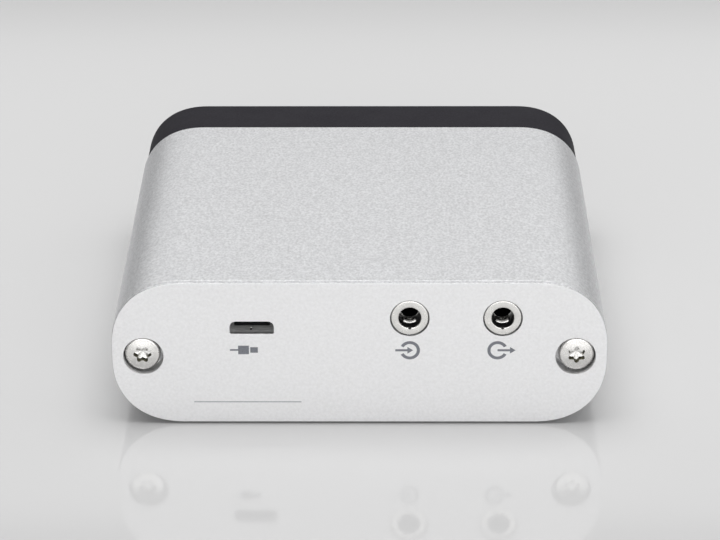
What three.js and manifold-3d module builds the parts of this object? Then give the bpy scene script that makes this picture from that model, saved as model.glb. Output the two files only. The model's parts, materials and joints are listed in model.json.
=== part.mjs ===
// A small desktop digital-to-analogue converter and headphone amplifier, in millimetres, +Z up.
// An extruded aluminium sleeve is clamped between a black front cap, which faces -Y and carries the
// controls, and an aluminium rear panel, which faces +Y and carries the sockets.
// The origin is on the standing surface, under the middle of the object's box.
// Inside the housing group, Z is measured from the sleeve's mid-height.
import * as THREE from "three";
import { mergeVertices } from "three/addons/utils/BufferGeometryUtils.js";
import Module from "manifold-3d";

// Housing
const HOUSING_WIDTH = 78;
const HOUSING_HEIGHT = 24.4;
const HOUSING_LENGTH = 75.8;
const CORNER_RADIUS = 11.5;
const CORNER_EXPONENT = 2.3; // 2 is a circular corner; this one is slightly squarer
const CORNER_SEGMENTS = 10;
const SLEEVE_WALL = 1.5;
const CAP_LENGTH = 11.2;
const CAP_INSET = 0.3; // the cap's outline is this much inside the sleeve's
const CAP_FACE_WALL = 2.5;
const CAP_SIDE_WALL = 2.2;
const CAP_EDGE = 0.6;
const PANEL_THICKNESS = 4;
const PANEL_FLANGE = 0.8; // the part of the panel outside the sleeve
const PANEL_EDGE = 0.2;
const LIP_LENGTH = 3;
const LIP_WALL = 1.2;
const BOSS_WALL = 1;
const JOINT_GAP = 0.1;
const FIT_GAP = 0.1;

// Feet
const FOOT_RADIUS = 4;
const FOOT_THICKNESS = 1;
const FOOT_PROUD = 0.3;
const FOOT_X = 21;
const FOOT_FRONT_Y = -14;
const FOOT_REAR_Y = 32;

// Tie screws, M3 with a six-lobe recess, and the threaded inserts that they pull on
const SCREW_X = 34.2;
const SCREW_Z = -0.5;
const SCREW_LENGTH = 65;
const SHANK_RADIUS = 1.4;
const SHANK_TIP_CHAMFER = 0.4;
const SHANK_HOLE_RADIUS = 1.7;
const HEAD_RADIUS = 2.82;
const HEAD_HEIGHT = 2.1;
const HEAD_DOME = 0.75;
const HEAD_BELOW_FACE = 0.45;
const RECESS_RADIUS = 1.24; // mean radius of the six-lobe outline
const RECESS_LOBE = 0.2;
const RECESS_LOBES = 6;
const RECESS_STEPS = 48;
const RECESS_DEPTH = 1.2;
const COUNTERBORE_X = 34;
const COUNTERBORE_RADIUS = 3.16;
const INSERT_RADIUS = 2.3;
const INSERT_LENGTH = 5.2;
const INSERT_TIP_ROOM = 1; // behind the insert, for the screw's end
const INSERT_GROOVE_DEPTH = 0.3;
const INSERT_GROOVE_FLOOR = 0.6;
const INSERT_GROOVE_MOUTH = 1;

// Rails inside the sleeve, which hold the main board and guide the tie screws
const RAIL_INNER_X = 30;
const RAIL_OUTER_X = 38;
const RAIL_BELOW_SCREW = 3.3;
const RAIL_ABOVE_BOARD = 1.6;
const GROOVE_DEPTH = 1.5;
const RAIL_LIP_GAP = 1.7;
const RAIL_PANEL_GAP = 0.4;

// Boards
const BOARD_THICKNESS = 1.6;
const BOARD_TOP_Z = 3;
const MAIN_BOARD_HALF_WIDTH = 31.2;
const MAIN_BOARD_FRONT_Y = -17.6;
const FRONT_BOARD_BACK_Y = -19;
const FRONT_BOARD_WIDTH = 59;
const FRONT_BOARD_HEIGHT = 17;
const HEADER_WIDTH = 20;
const HEADER_LENGTH = 3.4;
const HEADER_HEIGHT = 2.5;

// Rear sockets: two 3.5 mm jacks and a micro-USB socket, all on the main board
const JACK_Z = 6.1;
const INPUT_JACK_X = -7.9;
const OUTPUT_JACK_X = -22.45;
const JACK_BORE_RADIUS = 1.76;
const BUSHING_RADIUS = 2.96;
const BUSHING_HOLE_RADIUS = 3.08;
const BUSHING_LENGTH = 3.4;
const BUSHING_FACE_WALL = 0.35;
const BUSHING_BELOW_FACE = 0.2;
const NOSE_RADIUS = 2.5; // the jack's body reaches this thick into its bushing
const JACK_BODY_WIDTH = 6.8;
const JACK_BODY_LENGTH = 12.5;
const JACK_BODY_HEIGHT = 5.8;
const JACK_BORE_DEPTH = 14.5; // from the bushing's face
const JACK_END_WALL = 0.6;
const CONTACT_DEPTH = 1.85; // from the bushing's face to the contact ring
const CONTACT_LENGTH = 2.4;
const CONTACT_OUTER_RADIUS = 2.15;
const CONTACT_CREST_RADIUS = 1.58;
const CONTACT_STRIP = 0.25;
const USB_X = 16.85;
const USB_Z = 4.47;
const USB_SLOT_WIDTH = 6.93;
const USB_SLOT_HEIGHT = 2.15;
const USB_TOP_CORNER = 1.1; // the socket is fitted upside down, with its narrower side up
const USB_BOTTOM_CORNER = 0.4;
const USB_FACE_WALL = 0.8; // what is left of the panel in front of the socket
const USB_SHELL_WALL = 0.3;
const USB_SHELL_LENGTH = 5;
const USB_SHELL_SETBACK = 0.02; // how far the shell's inside stands back from the opening's edge
const USB_TONGUE_WIDTH = 5.6;
const USB_TONGUE_LENGTH = 3.6;
const USB_TONGUE_THICKNESS = 0.6;
const USB_TONGUE_LIFT = 0.8; // its height above the opening's floor
const USB_TONGUE_SETBACK = 0.4; // behind the socket's front

// Front controls, all at mid-height
const KNOB_X = 20;
const KNOB_RADIUS = 7.2;
const KNOB_PROUD = 7.7;
const KNOB_FACE_GAP = 0.5;
const KNOB_EDGE = 0.5;
const KNOB_RECESS_RADIUS = 5.6; // clears the hexagon nut
const KNOB_RECESS_DEPTH = 2.5;
const KNOB_FACE_WALL = 1.2;
const POINTER_WIDTH = 0.8;
const POINTER_DEPTH = 0.4;
const POINTER_START = 3; // from the knob's axis
const SHAFT_RADIUS = 3;
const SHAFT_BORE_RADIUS = 3.08;
const SHAFT_TIP_CHAMFER = 0.4;
const SHAFT_TIP_DEPTH = 1.5; // from the knob's face
const SHAFT_FLAT_DEPTH = 0.8;
const SHAFT_FLAT_START = 3; // from the cap's face
const SET_SCREW_RADIUS = 1;
const SET_SCREW_LENGTH = 3.4;
const SET_SCREW_FROM_CAP = 4.6;
const SET_SCREW_END_GAP = 0.2;
const SET_SCREW_SOCKET_RADIUS = 0.5;
const SET_SCREW_SOCKET_DEPTH = 1.2;
const POT_BUSHING_RADIUS = 3.5;
const POT_BUSHING_PROUD = 2.4;
const POT_BODY_SIZE = 9.8;
const POT_BODY_LENGTH = 6.8;
const POT_LEG_SPACING = 3;
const POT_LEG_WIDTH = 0.8;
const POT_LEG_THICKNESS = 0.4;
const ROTOR_RADIUS = 4;
const ROTOR_THICKNESS = 1.8;
const ROTOR_SETBACK = 0.4;
const NUT_RADIUS = 5.2;
const NUT_THICKNESS = 2;
const BUTTON_X = 2;
const BUTTON_RADIUS = 2.5;
const BUTTON_PROUD = 1.2;
const BUTTON_EDGE = 0.3;
const BUTTON_COLLAR_RADIUS = 3.3;
const BUTTON_COLLAR_THICKNESS = 1;
const BUTTON_COLLAR_GAP = 0.3;
const BUTTON_STEM_RADIUS = 1.2;
const BUTTON_STEM_LENGTH = 5.2; // from the inside of the cap's face
const SWITCH_SIZE = 6;
const SWITCH_DEPTH = 3.6;
const SWITCH_WALL = 0.6;
const PLUNGER_RADIUS = 1.7;
const PLUNGER_GAP = 0.15;
const PLUNGER_IN_SWITCH = 1.4;
const LED_X = -6;
const LED_RADIUS = 1.5;
const LED_LENGTH = 4;
const LED_FLANGE_WIDTH = 0.4;
const LED_FLANGE_THICKNESS = 1;
const LIGHT_PIPE_RADIUS = 1;
const LIGHT_PIPE_COLLAR_RADIUS = 1.6;
const LIGHT_PIPE_LED_GAP = 0.3;
const PHONE_JACK_X = -21;
const PHONE_JACK_BODY_SIZE = 9;

const COARSE_SEGMENTS = 16; // facets round a turned piece of 2 or 3 millimetres
const SEGMENTS = 24; // of a few more millimetres
const FINE_SEGMENTS = 32;
const KNOB_SEGMENTS = 48;
const DOME_STEPS = 5;
const OVERSHOOT = 1; // how far a cutting tool runs past the face that it opens

// Places along Y that follow from the sizes above
const REAR_Y = (HOUSING_LENGTH + KNOB_PROUD) / 2;
const FRONT_Y = REAR_Y - HOUSING_LENGTH;
const CAP_BACK_Y = FRONT_Y + CAP_LENGTH;
const CAP_CAVITY_Y = FRONT_Y + CAP_FACE_WALL;
const SLEEVE_FRONT_Y = CAP_BACK_Y + JOINT_GAP;
const SLEEVE_REAR_Y = REAR_Y - PANEL_FLANGE - JOINT_GAP;
const PANEL_BACK_Y = REAR_Y - PANEL_THICKNESS;
const RAIL_FRONT_Y = CAP_BACK_Y + LIP_LENGTH + RAIL_LIP_GAP;
const RAIL_REAR_Y = PANEL_BACK_Y - RAIL_PANEL_GAP;
const FRONT_BOARD_FRONT_Y = FRONT_BOARD_BACK_Y - BOARD_THICKNESS;
const BOARD_BOTTOM_Z = BOARD_TOP_Z - BOARD_THICKNESS;

const LOOKS = {
  blastedAluminium: { color: 0xcfd0d2, roughness: 0.5, metalness: 0.9 },
  blackCap: { color: 0x38363b, roughness: 0.6, metalness: 0 },
  steel: { color: 0xc9c6bf, roughness: 0.25, metalness: 1 },
  nickel: { color: 0xd0cec6, roughness: 0.2, metalness: 1 },
  brass: { color: 0xb9934f, roughness: 0.35, metalness: 1 },
  rubber: { color: 0x232325, roughness: 0.9, metalness: 0 },
  circuitBoard: { color: 0x1f5a36, roughness: 0.5, metalness: 0 },
  blackPlastic: { color: 0x1a1a1b, roughness: 0.5, metalness: 0 },
  chip: { color: 0x222223, roughness: 0.6, metalness: 0 },
  relay: { color: 0xe4e2dc, roughness: 0.5, metalness: 0 },
  canAluminium: { color: 0xb9bcc0, roughness: 0.3, metalness: 1 },
  redFilm: { color: 0xa8322a, roughness: 0.45, metalness: 0 },
  clear: { color: 0xe8f0f4, roughness: 0.15, metalness: 0 },
};

const wasm = await Module();
wasm.setup();

// A three.js geometry as a solid that can be cut and joined.
function toSolid(geometry) {
  const bare = geometry.clone();
  bare.deleteAttribute("normal");
  bare.deleteAttribute("uv");
  const merged = mergeVertices(bare, 1e-4);
  const mesh = new wasm.Mesh({
    numProp: 3,
    vertProperties: merged.attributes.position.array,
    triVerts: new Uint32Array(merged.index.array),
  });
  return new wasm.Manifold(mesh);
}

function toGeometry(solid) {
  const mesh = solid.getMesh();
  const geometry = new THREE.BufferGeometry();
  geometry.setAttribute("position", new THREE.BufferAttribute(mesh.vertProperties, 3));
  geometry.setIndex(new THREE.BufferAttribute(mesh.triVerts, 1));
  geometry.computeVertexNormals();
  return geometry;
}

function join(...geometries) {
  return toGeometry(geometries.map(toSolid).reduce((whole, piece) => whole.add(piece)));
}

function cut(geometry, ...tools) {
  return toGeometry(tools.map(toSolid).reduce((rest, tool) => rest.subtract(tool), toSolid(geometry)));
}

// A rectangle in the XZ plane, centred on the housing's axis, with superelliptic corners.
function softRectangle(width, height, radius) {
  const power = 2 / CORNER_EXPONENT;
  const points = [];
  for (let quadrant = 0; quadrant < 4; quadrant++) {
    for (let step = 0; step <= CORNER_SEGMENTS; step++) {
      const angle = (Math.PI / 2) * (quadrant + step / CORNER_SEGMENTS);
      const [c, s] = [Math.cos(angle), Math.sin(angle)];
      const side = quadrant === 0 || quadrant === 3 ? 1 : -1;
      const level = quadrant < 2 ? 1 : -1;
      points.push(
        new THREE.Vector2(
          side * (width / 2 - radius) + radius * Math.sign(c) * Math.abs(c) ** power,
          level * (height / 2 - radius) + radius * Math.sign(s) * Math.abs(s) ** power,
        ),
      );
    }
  }
  return points;
}

// The housing's outline, moved inwards by an inset.
function housingOutline(inset) {
  return softRectangle(HOUSING_WIDTH - 2 * inset, HOUSING_HEIGHT - 2 * inset, CORNER_RADIUS - inset);
}

// An outline in the XZ plane, drawn out along Y from front to back. An edge chamfers both ends.
function prism(outline, frontY, backY, edge = 0) {
  const shape = outline instanceof THREE.Shape ? outline : new THREE.Shape(outline);
  const geometry = new THREE.ExtrudeGeometry(shape, {
    depth: backY - frontY - 2 * edge,
    bevelEnabled: edge > 0,
    bevelThickness: edge,
    bevelSize: edge,
    bevelOffset: -edge,
    bevelSegments: 1,
    curveSegments: 6,
  });
  geometry.rotateX(Math.PI / 2);
  geometry.translate(0, backY - edge, 0);
  return geometry;
}

// A round bar along Y.
function rod(radius, frontY, backY, x, z, segments = SEGMENTS) {
  const geometry = new THREE.CylinderGeometry(radius, radius, backY - frontY, segments);
  return geometry.translate(x, (frontY + backY) / 2, z);
}

// A round bar along Z.
function post(radius, bottomZ, topZ, x, y, segments = SEGMENTS) {
  const geometry = new THREE.CylinderGeometry(radius, radius, topZ - bottomZ, segments);
  return geometry.rotateX(Math.PI / 2).translate(x, y, (bottomZ + topZ) / 2);
}

// A closed profile of [radius, y] points, turned about an axis along Y.
function turned(profile, x, z, segments = SEGMENTS) {
  const closed = [...profile, profile[0]].map(([radius, y]) => new THREE.Vector2(radius, y));
  return new THREE.LatheGeometry(closed, segments).translate(x, 0, z);
}

// A box given by its limits along each axis.
function box([x0, x1], [y0, y1], [z0, z1]) {
  const geometry = new THREE.BoxGeometry(x1 - x0, y1 - y0, z1 - z0);
  return geometry.translate((x0 + x1) / 2, (y0 + y1) / 2, (z0 + z1) / 2);
}

// A box of the given size, centred on x and y, with its underside at bottomZ.
function block(width, length, height, x, y, bottomZ) {
  return box([x - width / 2, x + width / 2], [y - length / 2, y + length / 2], [bottomZ, bottomZ + height]);
}

const group = new THREE.Group();
const housing = new THREE.Group();
housing.position.z = FOOT_PROUD + HOUSING_HEIGHT / 2;
group.add(housing);

function addPart(name, geometry, look) {
  const mesh = new THREE.Mesh(geometry, new THREE.MeshStandardMaterial(look));
  mesh.name = name;
  housing.add(mesh);
}

const FOOT_PLACES = [
  ["foot_front_left", -FOOT_X, FOOT_FRONT_Y],
  ["foot_front_right", FOOT_X, FOOT_FRONT_Y],
  ["foot_rear_left", -FOOT_X, FOOT_REAR_Y],
  ["foot_rear_right", FOOT_X, FOOT_REAR_Y],
];
const SIDES = [
  ["left", -1],
  ["right", 1],
];

// Limits along X of a piece on one side, between two distances from the middle.
function sideLimits(side, inner, outer) {
  return side > 0 ? [inner, outer] : [-outer, -inner];
}

function makeSleeve() {
  const shape = new THREE.Shape(housingOutline(0));
  shape.holes.push(new THREE.Path(housingOutline(SLEEVE_WALL)));
  const rails = [];
  const cuts = [];
  const railZ = [SCREW_Z - RAIL_BELOW_SCREW, BOARD_TOP_Z + RAIL_ABOVE_BOARD];
  const grooveZ = [BOARD_BOTTOM_Z - FIT_GAP, BOARD_TOP_Z + FIT_GAP];
  const [cutFront, cutBack] = [RAIL_FRONT_Y - OVERSHOOT, RAIL_REAR_Y + OVERSHOOT];
  for (const [, side] of SIDES) {
    const railX = sideLimits(side, RAIL_INNER_X, RAIL_OUTER_X);
    const grooveX = sideLimits(side, RAIL_INNER_X - OVERSHOOT, RAIL_INNER_X + GROOVE_DEPTH);
    rails.push(box(railX, [RAIL_FRONT_Y, RAIL_REAR_Y], railZ));
    cuts.push(box(grooveX, [cutFront, cutBack], grooveZ));
    cuts.push(rod(SHANK_HOLE_RADIUS, cutFront, cutBack, side * SCREW_X, SCREW_Z));
  }
  const pocketTop = FOOT_THICKNESS - FOOT_PROUD + FIT_GAP - HOUSING_HEIGHT / 2;
  for (const [, x, y] of FOOT_PLACES) {
    cuts.push(post(FOOT_RADIUS + FIT_GAP, -HOUSING_HEIGHT / 2 - OVERSHOOT, pocketTop, x, y));
  }
  return cut(join(prism(shape, SLEEVE_FRONT_Y, SLEEVE_REAR_Y), ...rails), ...cuts);
}

function makeFoot(x, y) {
  const bottomZ = -HOUSING_HEIGHT / 2 - FOOT_PROUD;
  return post(FOOT_RADIUS, bottomZ, bottomZ + FOOT_THICKNESS, x, y);
}

// The micro-USB opening, made larger all round by grow.
function usbOutline(grow) {
  const halfWidth = USB_SLOT_WIDTH / 2 + grow;
  const bottom = USB_Z - USB_SLOT_HEIGHT / 2 - grow;
  const top = USB_Z + USB_SLOT_HEIGHT / 2 + grow;
  const topCorner = USB_TOP_CORNER + grow / 2;
  const bottomCorner = USB_BOTTOM_CORNER + grow / 2;
  const [left, right] = [USB_X - halfWidth, USB_X + halfWidth];
  const shape = new THREE.Shape();
  shape.moveTo(left + bottomCorner, bottom);
  shape.lineTo(right - bottomCorner, bottom);
  shape.quadraticCurveTo(right, bottom, right, bottom + bottomCorner);
  shape.lineTo(right, top - topCorner);
  shape.quadraticCurveTo(right, top, right - topCorner, top);
  shape.lineTo(left + topCorner, top);
  shape.quadraticCurveTo(left, top, left, top - topCorner);
  shape.lineTo(left, bottom + bottomCorner);
  shape.quadraticCurveTo(left, bottom, left + bottomCorner, bottom);
  return shape;
}

function makeRearPanel() {
  const flange = prism(housingOutline(JOINT_GAP / 2), REAR_Y - PANEL_FLANGE, REAR_Y, PANEL_EDGE);
  const spigot = prism(housingOutline(SLEEVE_WALL + FIT_GAP), PANEL_BACK_Y, REAR_Y - PANEL_FLANGE / 2);
  const outside = REAR_Y + OVERSHOOT;
  const inside = PANEL_BACK_Y - OVERSHOOT;
  const socketWall = USB_SHELL_WALL + 2 * FIT_GAP;
  const cuts = [
    rod(BUSHING_HOLE_RADIUS, inside, outside, INPUT_JACK_X, JACK_Z, FINE_SEGMENTS),
    rod(BUSHING_HOLE_RADIUS, inside, outside, OUTPUT_JACK_X, JACK_Z, FINE_SEGMENTS),
    prism(usbOutline(0), inside, outside),
    prism(usbOutline(socketWall), inside, REAR_Y - USB_FACE_WALL),
  ];
  const counterboreFloor = REAR_Y - HEAD_BELOW_FACE - HEAD_HEIGHT - FIT_GAP;
  for (const [, side] of SIDES) {
    const boreX = side * COUNTERBORE_X;
    cuts.push(rod(COUNTERBORE_RADIUS, counterboreFloor, outside, boreX, SCREW_Z, FINE_SEGMENTS));
    cuts.push(rod(SHANK_HOLE_RADIUS, inside, outside, side * SCREW_X, SCREW_Z));
  }
  return cut(join(flange, spigot), ...cuts);
}

function makeFrontCap() {
  const slabBack = FRONT_Y + 2 * CAP_EDGE + OVERSHOOT;
  const faceSlab = prism(housingOutline(CAP_INSET), FRONT_Y, slabBack, CAP_EDGE);
  const skirt = prism(housingOutline(CAP_INSET), FRONT_Y + CAP_EDGE, CAP_BACK_Y);
  const cavity = prism(housingOutline(CAP_INSET + CAP_SIDE_WALL), CAP_CAVITY_Y, CAP_BACK_Y + OVERSHOOT);
  const lipShape = new THREE.Shape(housingOutline(SLEEVE_WALL + FIT_GAP));
  lipShape.holes.push(new THREE.Path(housingOutline(SLEEVE_WALL + FIT_GAP + LIP_WALL)));
  const lip = prism(lipShape, CAP_BACK_Y - OVERSHOOT, CAP_BACK_Y + LIP_LENGTH);
  const shell = join(cut(join(faceSlab, skirt), cavity), lip);
  const bosses = [];
  const cuts = [];
  for (const [, side] of SIDES) {
    const x = side * SCREW_X;
    const pocketFloor = CAP_BACK_Y - INSERT_LENGTH - INSERT_TIP_ROOM;
    bosses.push(rod(INSERT_RADIUS + BOSS_WALL, CAP_CAVITY_Y - OVERSHOOT, CAP_BACK_Y, x, SCREW_Z));
    cuts.push(rod(INSERT_RADIUS + FIT_GAP, pocketFloor, CAP_BACK_Y + OVERSHOOT, x, SCREW_Z));
  }
  const outside = FRONT_Y - OVERSHOOT;
  const behindFace = CAP_CAVITY_Y + OVERSHOOT;
  cuts.push(rod(POT_BUSHING_RADIUS + FIT_GAP, outside, behindFace, KNOB_X, 0));
  cuts.push(rod(BUTTON_RADIUS + 2 * FIT_GAP, outside, behindFace, BUTTON_X, 0));
  cuts.push(rod(LIGHT_PIPE_RADIUS + FIT_GAP, outside, behindFace, LED_X, 0));
  cuts.push(rod(BUSHING_RADIUS + FIT_GAP, outside, behindFace, PHONE_JACK_X, 0));
  return cut(join(shell, ...bosses), ...cuts);
}

// The six-lobe recess outline, centred on x and z.
function recessOutline(x, z) {
  return Array.from({ length: RECESS_STEPS }, (_, step) => {
    const angle = (2 * Math.PI * step) / RECESS_STEPS;
    const radius = RECESS_RADIUS + RECESS_LOBE * Math.cos(RECESS_LOBES * angle);
    return new THREE.Vector2(x + radius * Math.cos(angle), z + radius * Math.sin(angle));
  });
}

function makeTieScrew(side) {
  const crown = REAR_Y - HEAD_BELOW_FACE;
  const shoulder = crown - HEAD_DOME;
  const seat = crown - HEAD_HEIGHT;
  const tip = seat - SCREW_LENGTH;
  const profile = [
    [0, tip],
    [SHANK_RADIUS - SHANK_TIP_CHAMFER, tip],
    [SHANK_RADIUS, tip + SHANK_TIP_CHAMFER],
    [SHANK_RADIUS, seat],
    [HEAD_RADIUS, seat],
  ];
  for (let step = 0; step <= DOME_STEPS; step++) {
    const angle = (Math.PI / 2) * (step / DOME_STEPS);
    profile.push([HEAD_RADIUS * Math.cos(angle), shoulder + HEAD_DOME * Math.sin(angle)]);
  }
  const screw = turned(profile, side * SCREW_X, SCREW_Z);
  const recess = prism(recessOutline(side * SCREW_X, SCREW_Z), crown - RECESS_DEPTH, crown + OVERSHOOT);
  return cut(screw, recess);
}

function makeInsert(side) {
  const back = CAP_BACK_Y - 2 * FIT_GAP;
  const front = back - INSERT_LENGTH;
  const middle = (front + back) / 2;
  const bore = SHANK_RADIUS + FIT_GAP;
  const grooveRadius = INSERT_RADIUS - INSERT_GROOVE_DEPTH;
  const profile = [
    [bore, front],
    [INSERT_RADIUS, front],
    [INSERT_RADIUS, middle - INSERT_GROOVE_MOUTH / 2],
    [grooveRadius, middle - INSERT_GROOVE_FLOOR / 2],
    [grooveRadius, middle + INSERT_GROOVE_FLOOR / 2],
    [INSERT_RADIUS, middle + INSERT_GROOVE_MOUTH / 2],
    [INSERT_RADIUS, back],
    [bore, back],
  ];
  return turned(profile, side * SCREW_X, SCREW_Z);
}

// A profile of [radius, depth] points, depth measured into a socket from its face at faceY, turned about
// the socket's axis. Out is 1 where the socket faces +Y and -1 where it faces -Y.
function turnedSocket(profile, x, z, faceY, out, segments) {
  const points = profile.map(([radius, depth]) => [radius, faceY - out * depth]);
  return turned(out > 0 ? points : points.reverse(), x, z, segments);
}

// A jack's threaded bushing: a nickel-plated cup with a hole for the plug in its face.
function makeBushing(x, z, faceY, out) {
  const lead = 0.22; // chamfer that guides the plug in
  const edge = 0.15;
  const profile = [
    [NOSE_RADIUS + FIT_GAP / 2, BUSHING_LENGTH],
    [BUSHING_RADIUS, BUSHING_LENGTH],
    [BUSHING_RADIUS, edge],
    [BUSHING_RADIUS - edge, 0],
    [JACK_BORE_RADIUS + lead, 0],
    [JACK_BORE_RADIUS, lead],
    [JACK_BORE_RADIUS, BUSHING_FACE_WALL],
    [NOSE_RADIUS + FIT_GAP / 2, BUSHING_FACE_WALL],
  ];
  return turnedSocket(profile, x, z, faceY, out, FINE_SEGMENTS);
}

// A jack's sleeve contact: a sprung ring with two crests that reach into the bore.
function makeContact(x, z, faceY, out) {
  const start = CONTACT_DEPTH + FIT_GAP;
  const end = CONTACT_DEPTH + CONTACT_LENGTH - FIT_GAP;
  const middle = (start + end) / 2;
  const trough = CONTACT_OUTER_RADIUS - CONTACT_STRIP;
  const crests = [
    [trough, start],
    [CONTACT_CREST_RADIUS, (start + middle) / 2],
    [trough, middle],
    [CONTACT_CREST_RADIUS, (middle + end) / 2],
    [trough, end],
  ];
  const outside = [
    [CONTACT_OUTER_RADIUS - FIT_GAP / 2, end],
    [CONTACT_OUTER_RADIUS - FIT_GAP / 2, start],
  ];
  return turnedSocket([...crests, ...outside], x, z, faceY, out, SEGMENTS);
}

// The bore of a jack's body, with the groove that its contact sits in.
function jackBore(x, z, faceY, depth, out) {
  const profile = [
    [0, -OVERSHOOT],
    [0, depth],
    [JACK_BORE_RADIUS, depth],
    [JACK_BORE_RADIUS, CONTACT_DEPTH + CONTACT_LENGTH],
    [CONTACT_OUTER_RADIUS, CONTACT_DEPTH + CONTACT_LENGTH],
    [CONTACT_OUTER_RADIUS, CONTACT_DEPTH],
    [JACK_BORE_RADIUS, CONTACT_DEPTH],
    [JACK_BORE_RADIUS, -OVERSHOOT],
  ];
  return turnedSocket(profile, x, z, faceY, out, SEGMENTS);
}

const BUSHING_REAR_FACE_Y = REAR_Y - BUSHING_BELOW_FACE;
const BUSHING_FRONT_FACE_Y = FRONT_Y + BUSHING_BELOW_FACE;
const REAR_JACK_FRONT_Y = PANEL_BACK_Y - 2 * FIT_GAP;
const NOSE_START = BUSHING_FACE_WALL + FIT_GAP; // from the bushing's face

function makeRearJackBody(x) {
  const halfWidth = JACK_BODY_WIDTH / 2;
  const bottomZ = BOARD_TOP_Z + FIT_GAP;
  const body = box(
    [x - halfWidth, x + halfWidth],
    [REAR_JACK_FRONT_Y - JACK_BODY_LENGTH, REAR_JACK_FRONT_Y],
    [bottomZ, bottomZ + JACK_BODY_HEIGHT],
  );
  const nose = rod(NOSE_RADIUS, REAR_JACK_FRONT_Y - OVERSHOOT, BUSHING_REAR_FACE_Y - NOSE_START, x, JACK_Z);
  return cut(join(body, nose), jackBore(x, JACK_Z, BUSHING_REAR_FACE_Y, JACK_BORE_DEPTH, 1));
}

function makePhoneJackBody() {
  const half = PHONE_JACK_BODY_SIZE / 2;
  const front = CAP_CAVITY_Y + BUSHING_LENGTH - CAP_FACE_WALL + BUSHING_BELOW_FACE + FIT_GAP;
  const back = FRONT_BOARD_FRONT_Y - FIT_GAP;
  const body = box([PHONE_JACK_X - half, PHONE_JACK_X + half], [front, back], [-half, half]);
  const nose = rod(NOSE_RADIUS, BUSHING_FRONT_FACE_Y + NOSE_START, front + OVERSHOOT, PHONE_JACK_X, 0);
  const boreDepth = back - BUSHING_FRONT_FACE_Y - JACK_END_WALL;
  return cut(join(body, nose), jackBore(PHONE_JACK_X, 0, BUSHING_FRONT_FACE_Y, boreDepth, -1));
}

function makeUsbShell() {
  const front = REAR_Y - USB_FACE_WALL - FIT_GAP;
  const back = front - USB_SHELL_LENGTH;
  return cut(
    prism(usbOutline(USB_SHELL_WALL), back, front),
    prism(usbOutline(USB_SHELL_SETBACK), back + USB_SHELL_WALL, front + OVERSHOOT),
  );
}

function makeUsbTongue() {
  const front = REAR_Y - USB_FACE_WALL - FIT_GAP - USB_TONGUE_SETBACK;
  const back = front - USB_TONGUE_LENGTH;
  const bottomZ = USB_Z - USB_SLOT_HEIGHT / 2 + USB_TONGUE_LIFT;
  const middleY = (back + front) / 2;
  return block(USB_TONGUE_WIDTH, USB_TONGUE_LENGTH, USB_TONGUE_THICKNESS, USB_X, middleY, bottomZ);
}

// The potentiometer's fixed parts
const POT_FRONT_Y = CAP_CAVITY_Y + 2 * FIT_GAP;
const POT_BACK_Y = POT_FRONT_Y + POT_BODY_LENGTH;
const ROTOR_BACK_Y = POT_BACK_Y - ROTOR_SETBACK;
const ROTOR_FRONT_Y = ROTOR_BACK_Y - ROTOR_THICKNESS;

function makePotBody() {
  const half = POT_BODY_SIZE / 2;
  const bushingFront = FRONT_Y - POT_BUSHING_PROUD;
  const body = box([KNOB_X - half, KNOB_X + half], [POT_FRONT_Y, POT_BACK_Y], [-half, half]);
  const bushing = rod(POT_BUSHING_RADIUS, bushingFront, POT_FRONT_Y + OVERSHOOT, KNOB_X, 0);
  const shaftBore = rod(SHAFT_BORE_RADIUS, bushingFront - OVERSHOOT, POT_BACK_Y, KNOB_X, 0);
  const rotorRoom = rod(ROTOR_RADIUS + FIT_GAP, ROTOR_FRONT_Y - FIT_GAP, POT_BACK_Y + OVERSHOOT, KNOB_X, 0);
  const legFront = POT_BACK_Y - OVERSHOOT;
  const legLength = FRONT_BOARD_FRONT_Y - FIT_GAP - legFront;
  const legs = [-POT_LEG_SPACING, 0, POT_LEG_SPACING].map((offset) =>
    block(POT_LEG_WIDTH, legLength, POT_LEG_THICKNESS, KNOB_X + offset, legFront + legLength / 2, -half),
  );
  return join(cut(join(body, bushing), shaftBore, rotorRoom), ...legs);
}

function makeShaft() {
  const tip = FRONT_Y - KNOB_PROUD + SHAFT_TIP_DEPTH;
  const profile = [
    [0, tip],
    [SHAFT_RADIUS - SHAFT_TIP_CHAMFER, tip],
    [SHAFT_RADIUS, tip + SHAFT_TIP_CHAMFER],
    [SHAFT_RADIUS, ROTOR_FRONT_Y],
    [ROTOR_RADIUS, ROTOR_FRONT_Y],
    [ROTOR_RADIUS, ROTOR_BACK_Y],
    [0, ROTOR_BACK_Y],
  ];
  const reach = SHAFT_RADIUS + OVERSHOOT;
  const flat = box(
    [KNOB_X - reach, KNOB_X + reach],
    [tip - OVERSHOOT, FRONT_Y - SHAFT_FLAT_START],
    [-reach, SHAFT_FLAT_DEPTH - SHAFT_RADIUS],
  );
  return cut(turned(profile, KNOB_X, 0), flat);
}

function makeHexNut() {
  const back = FRONT_Y - FIT_GAP;
  const front = back - NUT_THICKNESS;
  const hole = rod(POT_BUSHING_RADIUS + FIT_GAP, front - OVERSHOOT, back + OVERSHOOT, KNOB_X, 0);
  return cut(rod(NUT_RADIUS, front, back, KNOB_X, 0, 6), hole);
}

const SET_SCREW_Y = FRONT_Y - SET_SCREW_FROM_CAP;

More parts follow.
